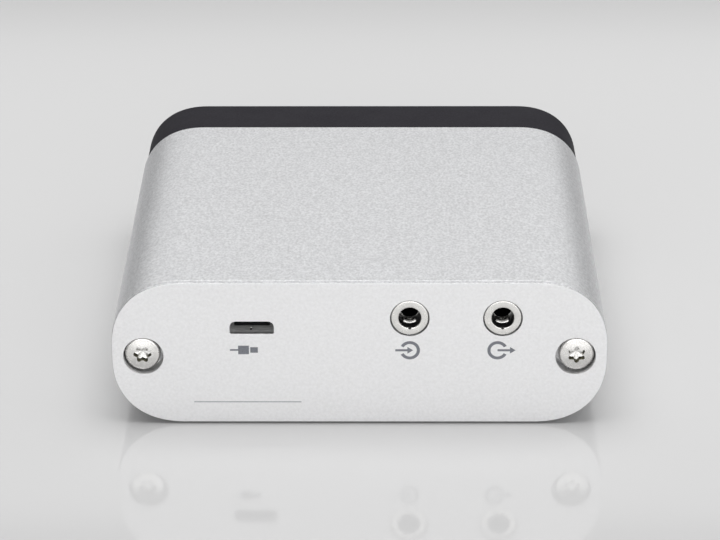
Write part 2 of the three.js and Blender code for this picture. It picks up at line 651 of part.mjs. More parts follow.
function makeKnob() {
  const back = FRONT_Y - KNOB_FACE_GAP;
  const front = FRONT_Y - KNOB_PROUD;
  const recessFloor = back - KNOB_RECESS_DEPTH;
  const boreRadius = SHAFT_RADIUS + FIT_GAP;
  const boreFloor = front + KNOB_FACE_WALL;
  const profile = [
    [0, front],
    [KNOB_RADIUS - KNOB_EDGE, front],
    [KNOB_RADIUS, front + KNOB_EDGE],
    [KNOB_RADIUS, back],
    [KNOB_RECESS_RADIUS, back],
    [KNOB_RECESS_RADIUS, recessFloor],
    [boreRadius, recessFloor],
    [boreRadius, boreFloor],
    [0, boreFloor],
  ];
  const pointer = box(
    [KNOB_X - POINTER_WIDTH / 2, KNOB_X + POINTER_WIDTH / 2],
    [front - OVERSHOOT, front + POINTER_DEPTH],
    [POINTER_START, KNOB_RADIUS + OVERSHOOT],
  );
  const screwHoleRadius = SET_SCREW_RADIUS + FIT_GAP;
  const screwHole = post(screwHoleRadius, -KNOB_RADIUS - OVERSHOOT, 0, KNOB_X, SET_SCREW_Y, COARSE_SEGMENTS);
  return cut(turned(profile, KNOB_X, 0, KNOB_SEGMENTS), pointer, screwHole);
}

// The set screw stands under the shaft, its point near the shaft's flat and its socket facing down.
function makeSetScrew() {
  const top = SHAFT_FLAT_DEPTH - SHAFT_RADIUS - SET_SCREW_END_GAP;
  const bottom = top - SET_SCREW_LENGTH;
  const screw = post(SET_SCREW_RADIUS, bottom, top, KNOB_X, SET_SCREW_Y, COARSE_SEGMENTS);
  const socketTop = bottom + SET_SCREW_SOCKET_DEPTH;
  return cut(screw, post(SET_SCREW_SOCKET_RADIUS, bottom - OVERSHOOT, socketTop, KNOB_X, SET_SCREW_Y, 6));
}

// The power button is a stepped pin: its collar stops behind the cap's face and its stem pushes the switch.
const BUTTON_STEM_END_Y = CAP_CAVITY_Y + BUTTON_STEM_LENGTH;
const SWITCH_FRONT_Y = FRONT_BOARD_FRONT_Y - SWITCH_DEPTH;

function makePowerButton() {
  const front = FRONT_Y - BUTTON_PROUD;
  const collarFront = CAP_CAVITY_Y + BUTTON_COLLAR_GAP;
  const collarBack = collarFront + BUTTON_COLLAR_THICKNESS;
  const profile = [
    [0, front],
    [BUTTON_RADIUS - BUTTON_EDGE, front],
    [BUTTON_RADIUS, front + BUTTON_EDGE],
    [BUTTON_RADIUS, collarFront],
    [BUTTON_COLLAR_RADIUS, collarFront],
    [BUTTON_COLLAR_RADIUS, collarBack],
    [BUTTON_STEM_RADIUS, collarBack],
    [BUTTON_STEM_RADIUS, BUTTON_STEM_END_Y],
    [0, BUTTON_STEM_END_Y],
  ];
  return turned(profile, BUTTON_X, 0);
}

function makePowerSwitch() {
  const half = SWITCH_SIZE / 2;
  const back = FRONT_BOARD_FRONT_Y - FIT_GAP;
  const body = box([BUTTON_X - half, BUTTON_X + half], [SWITCH_FRONT_Y, back], [-half, half]);
  const wellFloor = FRONT_BOARD_FRONT_Y - SWITCH_WALL;
  return cut(body, rod(PLUNGER_RADIUS + PLUNGER_GAP, SWITCH_FRONT_Y - OVERSHOOT, wellFloor, BUTTON_X, 0));
}

function makeSwitchPlunger() {
  return rod(PLUNGER_RADIUS, BUTTON_STEM_END_Y + FIT_GAP, SWITCH_FRONT_Y + PLUNGER_IN_SWITCH, BUTTON_X, 0);
}

// The lamp behind the light pipe, with a domed end that faces the front.
function makeStatusLed() {
  const back = FRONT_BOARD_FRONT_Y - FIT_GAP;
  const tip = back - LED_LENGTH;
  const flangeFront = back - LED_FLANGE_THICKNESS;
  const flangeRadius = LED_RADIUS + LED_FLANGE_WIDTH;
  const profile = [];
  for (let step = 0; step <= DOME_STEPS; step++) {
    const angle = (Math.PI / 2) * (step / DOME_STEPS);
    profile.push([LED_RADIUS * Math.sin(angle), tip + LED_RADIUS * (1 - Math.cos(angle))]);
  }
  profile.push([LED_RADIUS, flangeFront], [flangeRadius, flangeFront], [flangeRadius, back], [0, back]);
  return turned(profile, LED_X, 0, COARSE_SEGMENTS);
}

function makeLightPipe() {
  const collarFront = CAP_CAVITY_Y + FIT_GAP;
  const back = FRONT_BOARD_FRONT_Y - FIT_GAP - LED_LENGTH - LIGHT_PIPE_LED_GAP;
  const profile = [
    [0, FRONT_Y],
    [LIGHT_PIPE_RADIUS, FRONT_Y],
    [LIGHT_PIPE_RADIUS, collarFront],
    [LIGHT_PIPE_COLLAR_RADIUS, collarFront],
    [LIGHT_PIPE_COLLAR_RADIUS, back],
    [0, back],
  ];
  return turned(profile, LED_X, 0, COARSE_SEGMENTS);
}

function addHousing() {
  addPart("sleeve", makeSleeve(), LOOKS.blastedAluminium);
  addPart("rear_panel", makeRearPanel(), LOOKS.blastedAluminium);
  addPart("front_cap", makeFrontCap(), LOOKS.blackCap);
  for (const [word, side] of SIDES) {
    addPart(`tie_screw_${word}`, makeTieScrew(side), LOOKS.steel);
    addPart(`threaded_insert_${word}`, makeInsert(side), LOOKS.brass);
  }
  for (const [name, x, y] of FOOT_PLACES) {
    addPart(name, makeFoot(x, y), LOOKS.rubber);
  }
}

function addBoards() {
  const mainBoard = box(
    [-MAIN_BOARD_HALF_WIDTH, MAIN_BOARD_HALF_WIDTH],
    [MAIN_BOARD_FRONT_Y, RAIL_REAR_Y - 2 * FIT_GAP],
    [BOARD_BOTTOM_Z, BOARD_TOP_Z],
  );
  addPart("main_board", mainBoard, LOOKS.circuitBoard);
  const frontBoard = box(
    [-FRONT_BOARD_WIDTH / 2, FRONT_BOARD_WIDTH / 2],
    [FRONT_BOARD_FRONT_Y, FRONT_BOARD_BACK_Y],
    [-FRONT_BOARD_HEIGHT / 2, FRONT_BOARD_HEIGHT / 2],
  );
  addPart("front_board", frontBoard, LOOKS.circuitBoard);
  const headerY = FRONT_BOARD_BACK_Y + FIT_GAP + HEADER_LENGTH / 2;
  const header = block(HEADER_WIDTH, HEADER_LENGTH, HEADER_HEIGHT, 0, headerY, BOARD_TOP_Z + FIT_GAP);
  addPart("board_header", header, LOOKS.blackPlastic);
}

function addRearSockets() {
  for (const [word, x] of [
    ["input", INPUT_JACK_X],
    ["output", OUTPUT_JACK_X],
  ]) {
    addPart(`${word}_jack_body`, makeRearJackBody(x), LOOKS.blackPlastic);
    addPart(`${word}_jack_bushing`, makeBushing(x, JACK_Z, BUSHING_REAR_FACE_Y, 1), LOOKS.nickel);
    addPart(`${word}_jack_contact`, makeContact(x, JACK_Z, BUSHING_REAR_FACE_Y, 1), LOOKS.nickel);
  }
  addPart("usb_shell", makeUsbShell(), LOOKS.nickel);
  addPart("usb_tongue", makeUsbTongue(), LOOKS.blackPlastic);
}

function addFrontControls() {
  addPart("headphone_jack_body", makePhoneJackBody(), LOOKS.blackPlastic);
  addPart("headphone_jack_bushing", makeBushing(PHONE_JACK_X, 0, BUSHING_FRONT_FACE_Y, -1), LOOKS.nickel);
  addPart("headphone_jack_contact", makeContact(PHONE_JACK_X, 0, BUSHING_FRONT_FACE_Y, -1), LOOKS.nickel);
  addPart("volume_potentiometer", makePotBody(), LOOKS.steel);
  addPart("potentiometer_nut", makeHexNut(), LOOKS.nickel);
  addPart("volume_shaft", makeShaft(), LOOKS.steel);
  addPart("volume_knob", makeKnob(), LOOKS.blastedAluminium);
  addPart("knob_set_screw", makeSetScrew(), LOOKS.steel);
  addPart("power_button", makePowerButton(), LOOKS.blastedAluminium);
  addPart("power_switch", makePowerSwitch(), LOOKS.blackPlastic);
  addPart("switch_plunger", makeSwitchPlunger(), LOOKS.blackPlastic);
  addPart("status_led", makeStatusLed(), LOOKS.clear);
  addPart("light_pipe", makeLightPipe(), LOOKS.clear);
}

// Pieces on the top of the main board: name, width, length, height, x, y, look.
const TOP_COMPONENTS = [
  ["usb_receiver_chip", 9, 9, 1, USB_X, 20, LOOKS.chip],
  ["dac_chip", 10.2, 5.3, 1.7, 0, 14, LOOKS.chip],
  ["headphone_amplifier_chip", 4.9, 3.9, 1.6, -14, -6, LOOKS.chip],
  ["oscillator_44k", 5, 3.2, 1.2, 6, 26, LOOKS.canAluminium],
  ["oscillator_48k", 5, 3.2, 1.2, 6, 20, LOOKS.canAluminium],
  ["voltage_regulator", 6.5, 3.5, 1.7, 24, 8, LOOKS.chip],
  ["power_inductor", 6, 6, 3, 16, 4, LOOKS.chip],
  ["mute_relay", 6.5, 10, 5, -15, 12, LOOKS.relay],
  ["film_capacitor_left", 3.5, 7.2, 6, -25, 10, LOOKS.redFilm],
  ["film_capacitor_right", 3.5, 7.2, 6, -25, 0, LOOKS.redFilm],
];

// Electrolytic capacitors that hang from the underside of the main board, where there is most room.
const CAPACITOR_PLACES = [
  ["supply_capacitor_left", 10, 2],
  ["supply_capacitor_right", 20, 2],
  ["output_capacitor_left", -20, 2],
  ["output_capacitor_right", -10, 2],
];
const CAPACITOR_RADIUS = 4;
const CAPACITOR_HEIGHT = 10.5;

function addComponents() {
  for (const [name, width, length, height, x, y, look] of TOP_COMPONENTS) {
    addPart(name, block(width, length, height, x, y, BOARD_TOP_Z + FIT_GAP), look);
  }
  const top = BOARD_BOTTOM_Z - FIT_GAP;
  for (const [name, x, y] of CAPACITOR_PLACES) {
    addPart(name, post(CAPACITOR_RADIUS, top - CAPACITOR_HEIGHT, top, x, y), LOOKS.canAluminium);
  }
}

addHousing();
addBoards();
addRearSockets();
addFrontControls();
addComponents();

export default group;
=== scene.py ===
import json
import math

import bmesh
import bpy
from mathutils import Matrix, Vector


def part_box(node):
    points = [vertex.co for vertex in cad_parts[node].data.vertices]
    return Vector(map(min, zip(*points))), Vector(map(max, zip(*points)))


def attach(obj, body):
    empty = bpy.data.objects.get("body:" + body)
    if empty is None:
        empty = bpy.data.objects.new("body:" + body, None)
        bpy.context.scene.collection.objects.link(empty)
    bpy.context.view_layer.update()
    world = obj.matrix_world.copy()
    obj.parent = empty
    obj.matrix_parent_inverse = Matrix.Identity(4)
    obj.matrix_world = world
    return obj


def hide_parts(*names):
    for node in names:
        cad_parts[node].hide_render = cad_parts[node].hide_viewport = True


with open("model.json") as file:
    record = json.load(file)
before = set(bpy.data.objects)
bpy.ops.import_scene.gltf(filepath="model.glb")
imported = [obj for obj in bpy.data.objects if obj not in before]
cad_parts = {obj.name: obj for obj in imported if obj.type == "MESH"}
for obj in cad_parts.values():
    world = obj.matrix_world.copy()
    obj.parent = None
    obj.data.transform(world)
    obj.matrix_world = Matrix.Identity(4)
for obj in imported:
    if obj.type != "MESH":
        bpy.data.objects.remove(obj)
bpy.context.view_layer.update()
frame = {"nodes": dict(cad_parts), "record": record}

# The looks of a small desktop digital-to-analogue converter, in metres, in the frame of its CAD model:
# the front cap faces -Y, the rear panel faces +Y, and the object stands on z = 0.

MM = 0.001
SCENE = bpy.context.scene

# The housing's outline, as in the CAD model
CORNER_RADIUS = 11.5 * MM
CORNER_EXPONENT = 2.3
CORNER_STEPS = 24
CORNER_GUARD = 0.3 * MM  # a point this far along each straight keeps the flats' shading flat
EDGE_GUARD = 0.05 * MM
SLEEVE_WALL = 1.5 * MM
CAP_INSET = 0.3 * MM
CAP_SIDE_WALL = 2.2 * MM
CAP_FACE_WALL = 2.5 * MM
JOINT_GAP = 0.1 * MM
FIT_GAP = 0.1 * MM
LIP_WALL = 1.2 * MM
PANEL_FLANGE = 0.8 * MM
FACE_SETBACK = 0.02 * MM  # room for the printed marks inside the CAD model's box

ROUND_STEPS = 4
TURN_STEPS = 64
OVERSHOOT = 1 * MM


# ---------------------------------------------------------------- places in the CAD model


def centre(node):
    low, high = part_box(node)
    return (low + high) / 2


def extent(node):
    low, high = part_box(node)
    return high - low


SLEEVE_LOW, SLEEVE_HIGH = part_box("sleeve")
MIDDLE_Z = (SLEEVE_LOW.z + SLEEVE_HIGH.z) / 2
HOUSING_WIDTH = SLEEVE_HIGH.x - SLEEVE_LOW.x
HOUSING_HEIGHT = SLEEVE_HIGH.z - SLEEVE_LOW.z
REAR_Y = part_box("rear_panel")[1].y
PANEL_BACK_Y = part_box("rear_panel")[0].y
FACE_Y = REAR_Y - FACE_SETBACK
FRONT_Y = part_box("front_cap")[0].y
CAP_BACK_Y = SLEEVE_LOW.y - JOINT_GAP
SCREW_SIDES = {"tie_screw_left": -1, "tie_screw_right": 1}


# ---------------------------------------------------------------- mesh helpers


def new_piece(name, vertices, faces):
    mesh = bpy.data.meshes.new(name)
    mesh.from_pydata(vertices, [], faces)
    mesh.update()
    piece = bpy.data.objects.new(name, mesh)
    SCENE.collection.objects.link(piece)
    turn_faces_out(mesh)
    return piece


def turn_faces_out(mesh):
    surface = bmesh.new()
    surface.from_mesh(mesh)
    bmesh.ops.recalc_face_normals(surface, faces=surface.faces)
    surface.to_mesh(mesh)
    surface.free()


def rounded(corners, closed=False, steps=ROUND_STEPS, guard=0):
    """The points of an outline of (a, b) or (a, b, cut) corners.

    A cut rounds its corner, from that far on each side. A guard is a further point that far along each
    straight beside it, which keeps the straight's shading flat.
    """
    points = []
    count = len(corners)
    for i, (a, b, *cut) in enumerate(corners):
        inner = closed or 0 < i < count - 1
        if not cut or not inner:
            points.append((a, b))
            continue
        here = Vector((a, b))
        before = Vector(corners[i - 1][:2])
        after = Vector(corners[(i + 1) % count][:2])
        towards, away = (before - here).normalized(), (after - here).normalized()
        start = here + towards * cut[0]
        end = here + away * cut[0]
        if guard:
            points.append(tuple(start + towards * guard))
        for step in range(steps + 1):
            t = step / steps
            point = start * (1 - t) ** 2 + here * 2 * t * (1 - t) + end * t**2
            points.append(tuple(point))
        if guard:
            points.append(tuple(end + away * guard))
    return points


def loft(name, rings, looped=False):
    """A closed surface through rings of points. A looped one joins its ends, and others have end faces."""
    count = len(rings[0])
    faces = []
    for span in range(len(rings) if looped else len(rings) - 1):
        near = span * count
        far = (span + 1) % len(rings) * count
        for i in range(count):
            j = (i + 1) % count
            faces.append((near + i, near + j, far + j, far + i))
    if not looped:
        last = (len(rings) - 1) * count
        faces.append(tuple(reversed(range(count))))
        faces.append(tuple(range(last, last + count)))
    return new_piece(name, [point for ring in rings for point in ring], faces)


def lathe(name, profile, at, axis="Y", steps=TURN_STEPS, looped=False):
    """A profile of (radius, distance along the axis) points turned about an axis through a point."""
    vertices = []
    rings = []
    for radius, along in profile:
        if radius < 1e-7:
            rings.append([len(vertices)])
            vertices.append(turned_point(at, axis, 0, 0, along))
            continue
        rings.append(list(range(len(vertices), len(vertices) + steps)))
        for step in range(steps):
            angle = 2 * math.pi * step / steps
            vertices.append(turned_point(at, axis, radius, angle, along))
    faces = []
    pairs = list(zip(rings, rings[1:]))
    if looped:
        pairs.append((rings[-1], rings[0]))
    for near, far in pairs:
        for i in range(steps):
            j = (i + 1) % steps
            if len(near) == 1 and len(far) == 1:
                continue
            if len(near) == 1:
                faces.append((near[0], far[j], far[i]))
            elif len(far) == 1:
                faces.append((near[i], near[j], far[0]))
            else:
                faces.append((near[i], near[j], far[j], far[i]))
    return new_piece(name, vertices, faces)


def rod(name, at, radius, start, end, axis="Y", steps=TURN_STEPS):
    """A plain cylinder between two distances along its axis."""
    return lathe(name, [(0, start), (radius, start), (radius, end), (0, end)], at, axis, steps)


def turned_point(at, axis, radius, angle, along):
    across, up = radius * math.cos(angle), radius * math.sin(angle)
    if axis == "Y":
        return (at[0] + across, at[1] + along, at[2] + up)
    return (at[0] + across, at[1] + up, at[2] + along)


def block(name, low, high):
    (x0, y0, z0), (x1, y1, z1) = low, high
    corners = [(x, y, z) for x in (x0, x1) for y in (y0, y1) for z in (z0, z1)]
    faces = [(0, 1, 3, 2), (4, 6, 7, 5), (0, 4, 5, 1), (2, 3, 7, 6), (0, 2, 6, 4), (1, 5, 7, 3)]
    return new_piece(name, corners, faces)


def rectangle(low_a, low_b, high_a, high_b, cut_radius):
    """The outline of a rectangle whose corners are all rounded alike."""
    corners = [(low_a, low_b), (high_a, low_b), (high_a, high_b), (low_a, high_b)]
    return rounded([(a, b, cut_radius) for a, b in corners], closed=True)


def give_look(piece, look, chosen):
    """Gives a piece's look of that number to the faces that a test picks."""
    for face in piece.data.polygons:
        if chosen(face):
            face.material_index = look


def soften(piece, width, segments=3):
    """Rounds a piece's sharp edges."""
    bevel = piece.modifiers.new("edges", "BEVEL")
    bevel.width = width
    bevel.segments = segments
    bevel.limit_method = "ANGLE"
    bevel.angle_limit = math.radians(35)
    bevel.use_clamp_overlap = True
    apply_modifiers(piece)
    return piece


def apply_modifiers(piece):
    bpy.context.view_layer.update()
    evaluated = piece.evaluated_get(bpy.context.evaluated_depsgraph_get())
    mesh = bpy.data.meshes.new_from_object(evaluated)
    piece.modifiers.clear()
    old = piece.data
    piece.data = mesh
    mesh.name = piece.name
    bpy.data.meshes.remove(old)


def combine(piece, tools, operation):
    for tool in tools:
        modifier = piece.modifiers.new(operation, "BOOLEAN")
        modifier.operation = operation
        modifier.solver = "EXACT"
        modifier.object = tool
        apply_modifiers(piece)
        bpy.data.objects.remove(tool)
    return piece


def cut(piece, *tools):
    return combine(piece, tools, "DIFFERENCE")


def join(piece, *others):
    return combine(piece, others, "UNION")


def smooth(piece, angle=30):
    """Smooth shading, with an edge kept wherever two faces meet at more than the angle."""
    mesh = piece.data
    mesh.shade_smooth()
    mesh.set_sharp_from_angle(angle=math.radians(angle))
    return piece


# ---------------------------------------------------------------- outlines


def soft_rectangle(width, height, radius):
    """Points (x, z) round a rectangle with superelliptic corners, centred on the origin."""
    power = 2 / CORNER_EXPONENT
    across, up = width / 2 - radius, height / 2 - radius
    points = []
    for quadrant, (side, level) in enumerate(((1, 1), (-1, 1), (-1, -1), (1, -1))):
        corner = []
        for step in range(CORNER_STEPS + 1):
            angle = math.pi / 2 * (quadrant + step / CORNER_STEPS)
            reach_x = radius * abs(math.cos(angle)) ** power
            reach_z = radius * abs(math.sin(angle)) ** power
            corner.append((side * (across + reach_x), level * (up + reach_z)))
        on_side = (side * width / 2, level * (up - CORNER_GUARD))
        on_level = (side * (across - CORNER_GUARD), level * height / 2)
        ends = (on_side, on_level) if quadrant % 2 == 0 else (on_level, on_side)
        points += [ends[0], *corner, ends[1]]
    return points


def housing_ring(inset, y):
    outline = soft_rectangle(HOUSING_WIDTH - 2 * inset, HOUSING_HEIGHT - 2 * inset, CORNER_RADIUS - inset)
    return [(x, y, MIDDLE_Z + z) for x, z in outline]


def housing_rings(profile):
    return [housing_ring(inset, y) for inset, y in profile]


def rounded_rectangle(width, height, cuts, steps=6):
    """Points (x, z) round a rectangle, with one cut for its upper corners and one for its lower ones."""
    upper, lower = cuts
    corners = [
        (-width / 2, -height / 2, lower),
        (width / 2, -height / 2, lower),
        (width / 2, height / 2, upper),
        (-width / 2, height / 2, upper),
    ]
    return rounded(corners, closed=True, steps=steps)


# ---------------------------------------------------------------- materials


class Material:
    """A procedural material: a principled shader, with textures measured in the object's own metres."""

    def __init__(self, name, colour, roughness, metallic=0.0, **sockets):
        self.material = bpy.data.materials.new(name)
        self.material.use_nodes = True
        self.tree = self.material.node_tree
        self.shader = self.tree.nodes["Principled BSDF"]
        self.colour = (*colour, 1)
        self.roughness = roughness
        self.shader.inputs["Base Color"].default_value = self.colour
        self.shader.inputs["Roughness"].default_value = roughness
        self.shader.inputs["Metallic"].default_value = metallic
        for socket, value in sockets.items():
            self.shader.inputs[socket.replace("_", " ")].default_value = value
        self.coordinates = self.node("ShaderNodeTexCoord").outputs["Object"]
        self.normal = None

    def node(self, kind, **inputs):
        made = self.tree.nodes.new(kind)
        for socket, value in inputs.items():
            self.put(made.inputs[socket.replace("_", " ")], value)
        return made

    def put(self, socket, value):
        if isinstance(value, bpy.types.NodeSocket):
            self.tree.links.new(value, socket)
        else:
            socket.default_value = value

    def stretched(self, scale):
        return self.node("ShaderNodeMapping", Vector=self.coordinates, Scale=scale).outputs["Vector"]

    def noise(self, size, detail=2.0, stretch=(1, 1, 1), roughness=0.55):
        """Smooth random values from about 0.25 to 0.75, whose blobs are about the given size."""
        vector = self.stretched(stretch)
        made = self.node(
            "ShaderNodeTexNoise", Vector=vector, Scale=0.5 / size, Detail=detail, Roughness=roughness
        )
        return made.outputs["Fac"]

    def remap(self, value, low, high):
        """The middle range of a noise spread over low to high."""
        made = self.node("ShaderNodeMapRange", Value=value, **{"From_Min": 0.3, "From_Max": 0.7})
        made.inputs["To Min"].default_value = low
        made.inputs["To Max"].default_value = high
        return made.outputs["Result"]

    def vary_colour(self, value, share):
        """Base colour from darker to lighter by a share of itself, as the value goes from 0 to 1."""
        dark = tuple(channel * (1 - share) for channel in self.colour[:3])
        light = tuple(min(1.0, channel * (1 + share)) for channel in self.colour[:3])
        self.mix_colours(self.remap(value, 0, 1), dark, light)

    def mix_colours(self, factor, first, second):
        mix = self.node("ShaderNodeMix")
        mix.data_type = "RGBA"
        self.put(mix.inputs["Factor"], factor)
        for socket, colour in zip([s for s in mix.inputs if s.type == "RGBA"], (first, second)):
            self.put(socket, colour if isinstance(colour, bpy.types.NodeSocket) else (*colour, 1))
        self.put(self.shader.inputs["Base Color"], [s for s in mix.outputs if s.type == "RGBA"][0])

    def vary_roughness(self, value, spread):
        result = self.remap(value, max(0.02, self.roughness - spread), min(1.0, self.roughness + spread))
        self.put(self.shader.inputs["Roughness"], result)

    def bump(self, value, depth, strength=1.0):
        """Relief of the given depth in metres. Several calls add up."""
        made = self.node("ShaderNodeBump", Height=value, Distance=depth, Strength=strength)
        if self.normal is not None:
            self.put(made.inputs["Normal"], self.normal)
        self.normal = made.outputs["Normal"]
        self.put(self.shader.inputs["Normal"], self.normal)


def blasted_aluminium(name, grain, colour_share, depth, roughness, colour):
    """Anodised aluminium after bead blasting: a pale satin metal with small craters."""
    look = Material(name, colour, roughness, metallic=1.0)
    craters = look.noise(grain, detail=3, stretch=(1, 0.7, 1), roughness=0.65)
    look.vary_colour(craters, colour_share)
    look.vary_roughness(craters, 0.05)
    look.bump(craters, depth)
    look.bump(look.noise(grain / 2.5, detail=1), depth / 3)
    return look.material


def cut_aluminium(name, shade, roughness):
    """Aluminium as a cutter leaves it, with fine tool lines."""
    look = Material(name, (shade, shade, shade * 1.02), roughness, metallic=1.0)
    lines = look.noise(0.07 * MM, detail=1, stretch=(0.08, 1, 0.08))
    look.vary_colour(lines, 0.3)
    look.bump(lines, 0.02 * MM)
    return look.material


def satin_black():
    look = Material("satin_black", (0.0175, 0.0163, 0.0208), 0.62, Specular_IOR_Level=0.13)
    grain = look.noise(0.16 * MM, detail=3)
    look.vary_colour(grain, 0.28)
    look.vary_roughness(look.noise(4 * MM), 0.04)
    look.bump(grain, 0.01 * MM)
    return look.material


def steel():
    look = Material("screw_steel", (0.76, 0.75, 0.73), 0.24, metallic=1.0)
    smears = look.noise(0.35 * MM, detail=3)
    look.vary_colour(smears, 0.1)
    look.vary_roughness(smears, 0.09)
    look.bump(look.noise(0.08 * MM), 0.002 * MM)
    return look.material


def recess_shade_steel():
    """The walls of a screw's recess, in a dark brownish steel with mottling: painted shade for the deep
    recess.
    """
    look = Material("recess_shade_steel", (0.1, 0.095, 0.055), 0.4, metallic=1.0)
    mottling = look.noise(0.25 * MM, detail=3)
    look.vary_colour(mottling, 0.55)
    look.vary_roughness(mottling, 0.1)
    look.bump(look.noise(0.1 * MM), 0.004 * MM)
    return look.material


def nickel():
    look = Material("nickel_plate", (0.80, 0.79, 0.765), 0.24, metallic=1.0)
    smears = look.noise(0.5 * MM, detail=3)
    look.vary_colour(smears, 0.06)
    look.vary_roughness(smears, 0.07)
    look.bump(look.noise(0.1 * MM), 0.0015 * MM)
    return look.material


def drawn_nickel():
    """Plated strip with the fine draw lines that rolling leaves, running across the socket."""
    look = Material("drawn_nickel", (0.85, 0.85, 0.84), 0.45, metallic=0.5)
    lines = look.noise(0.09 * MM, detail=2, stretch=(0.08, 1, 0.6))
    look.vary_colour(lines, 0.35)
    look.bump(lines, 0.01 * MM)
    return look.material


def plain_metal(name, colour, roughness):
    look = Material(name, colour, roughness, metallic=1.0)
    smears = look.noise(1.2 * MM, detail=3)
    look.vary_colour(smears, 0.08)
    look.vary_roughness(smears, 0.06)
    return look.material


def moulded(name, colour, roughness, grain=0.25 * MM, depth=0.006 * MM, share=0.12, **values):
    """A moulded or cast plastic with a fine spark-eroded grain."""
    look = Material(name, colour, roughness, **values)
    texture = look.noise(grain, detail=2)
    look.vary_colour(texture, share)
    look.vary_roughness(look.noise(3 * MM), 0.05)
    look.bump(texture, depth)
    return look.material


def circuit_board():
    """Green solder resist, with a trace pattern that shows faintly through it."""
    look = Material("circuit_board", (0.018, 0.105, 0.042), 0.32, Coat_Weight=0.25)
    weave = look.noise(1.6 * MM, detail=0, stretch=(1, 0.18, 1))
    cross = look.noise(1.9 * MM, detail=0, stretch=(0.18, 1, 1))
    traces = look.node("ShaderNodeMath", Value=weave)
    traces.operation = "MAXIMUM"
    look.put(traces.inputs[1], cross)
    look.vary_colour(traces.outputs[0], 0.3)
    look.bump(traces.outputs[0], 0.02 * MM)
    return look.material


def clear_plastic():
    look = Material(
        "clear_plastic", (0.9, 0.93, 0.95), 0.18, Transmission_Weight=0.85, IOR=1.49
    )
    haze = look.noise(0.6 * MM)
    look.vary_colour(haze, 0.04)
    look.vary_roughness(haze, 0.05)
    return look.material


def printed_ink():
    look = Material("printed_ink", (0.2, 0.208, 0.233), 0.6)
    speckle = look.noise(0.12 * MM, detail=2)
    look.vary_colour(speckle, 0.14)
    look.bump(speckle, 0.002 * MM)
    return look.material


def floor_material():
    look = Material("pale_floor", (0.542, 0.541, 0.542), 0.08, IOR=1.5)
    look.vary_colour(look.noise(400 * MM, detail=0), 0.012)
    look.vary_roughness(look.noise(250 * MM, detail=0), 0.02)
    return look.material


SLEEVE_LOOK = blasted_aluminium("blasted_sleeve", 0.2 * MM, 0.15, 0.018 * MM, 0.46, (0.84, 0.844, 0.855))
PANEL_LOOK = blasted_aluminium("blasted_panel", 0.24 * MM, 0.05, 0.008 * MM, 0.5, (0.935, 0.935, 0.94))
COUNTERBORE_LOOK = cut_aluminium("turned_aluminium", 0.84, 0.5)
SLOT_LOOK = cut_aluminium("milled_aluminium", 0.95, 0.45)
# A darker copy of the blasted aluminium for the sleeve's rounded rear edge: painted shade that tones down its
# highlight.
EDGE_SHADE_LOOK = blasted_aluminium("blasted_edge_painted_shade", 0.2 * MM, 0.15, 0.008 * MM, 0.5, (0.67, 0.673, 0.68))
# A darker copy again for the rear panel's rounded rim edge: painted shade that tones down its highlight.
RIM_SHADE_LOOK = blasted_aluminium("blasted_rim_painted_shade", 0.2 * MM, 0.15, 0.008 * MM, 0.5, (0.56, 0.563, 0.57))
SOCKET_LOOK = moulded("socket_moulding", (0.006, 0.006, 0.0065), 0.6, Specular_IOR_Level=0.06)
RECESS_SHADE_LOOK = recess_shade_steel()
DRAWN_NICKEL_LOOK = drawn_nickel()
INK_LOOK = printed_ink()
SLOT_LOOKS = {
    "blasted_aluminium": PANEL_LOOK,
    "black_cap": satin_black(),
    "screw_steel": steel(),
    "nickel": nickel(),
    "brass": plain_metal("brass", (0.62, 0.42, 0.16), 0.3),
    "rubber": moulded("rubber", (0.018, 0.018, 0.019), 0.75, 0.4 * MM, 0.02 * MM),
    "circuit_board": circuit_board(),
    "black_plastic": moulded("black_plastic", (0.012, 0.012, 0.013), 0.42),
    "chip": moulded("chip_epoxy", (0.02, 0.02, 0.021), 0.55, 0.12 * MM, 0.004 * MM, 0.25),
    "relay_plastic": moulded("relay_plastic", (0.72, 0.70, 0.66), 0.4),
    "can_aluminium": plain_metal("can_aluminium", (0.68, 0.69, 0.71), 0.28),
    "red_film": moulded("red_film", (0.36, 0.035, 0.022), 0.38, 0.8 * MM, 0.01 * MM),
    "clear_plastic": clear_plastic(),
}


def finish_piece(piece, slot, *nodes, body="root", looks=None):
    """Gives a new piece its material, its place on a body and the CAD nodes that it stands for."""
    piece.data.materials.clear()
    for look in looks or [SLOT_LOOKS[slot]]:
        piece.data.materials.append(look)
    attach(piece, body)
    if nodes:
        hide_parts(*nodes)
    return piece


def colour_cad_nodes():
    for row in frame["record"]["subparts"]:
        node = frame["nodes"][row["node"]]
        node.data.materials.clear()
        node.data.materials.append(SLOT_LOOKS[row["material_slot"]])


# ---------------------------------------------------------------- housing


def make_sleeve():
    edge = 0.07 * MM
    low, high = SLEEVE_LOW.y, SLEEVE_HIGH.y
    wall = [
        (0, low, edge),
        (0, high, edge),
        (SLEEVE_WALL, high, edge),
        (SLEEVE_WALL, low, edge),
    ]
    sleeve = loft("sleeve_shell", housing_rings(rounded(wall, closed=True, guard=EDGE_GUARD)), looped=True)
    add_rails(sleeve)
    cut_foot_pockets(sleeve)
    smooth(sleeve)
    finish_piece(sleeve, "blasted_aluminium", "sleeve", looks=[SLEEVE_LOOK, EDGE_SHADE_LOOK])
    # The rear edge's rounding takes the darker edge look, painted shade against its highlight.
    give_look(sleeve, 1, lambda face: 0.1 < face.normal.y < 0.95 and face.center.y > high - 2 * edge)


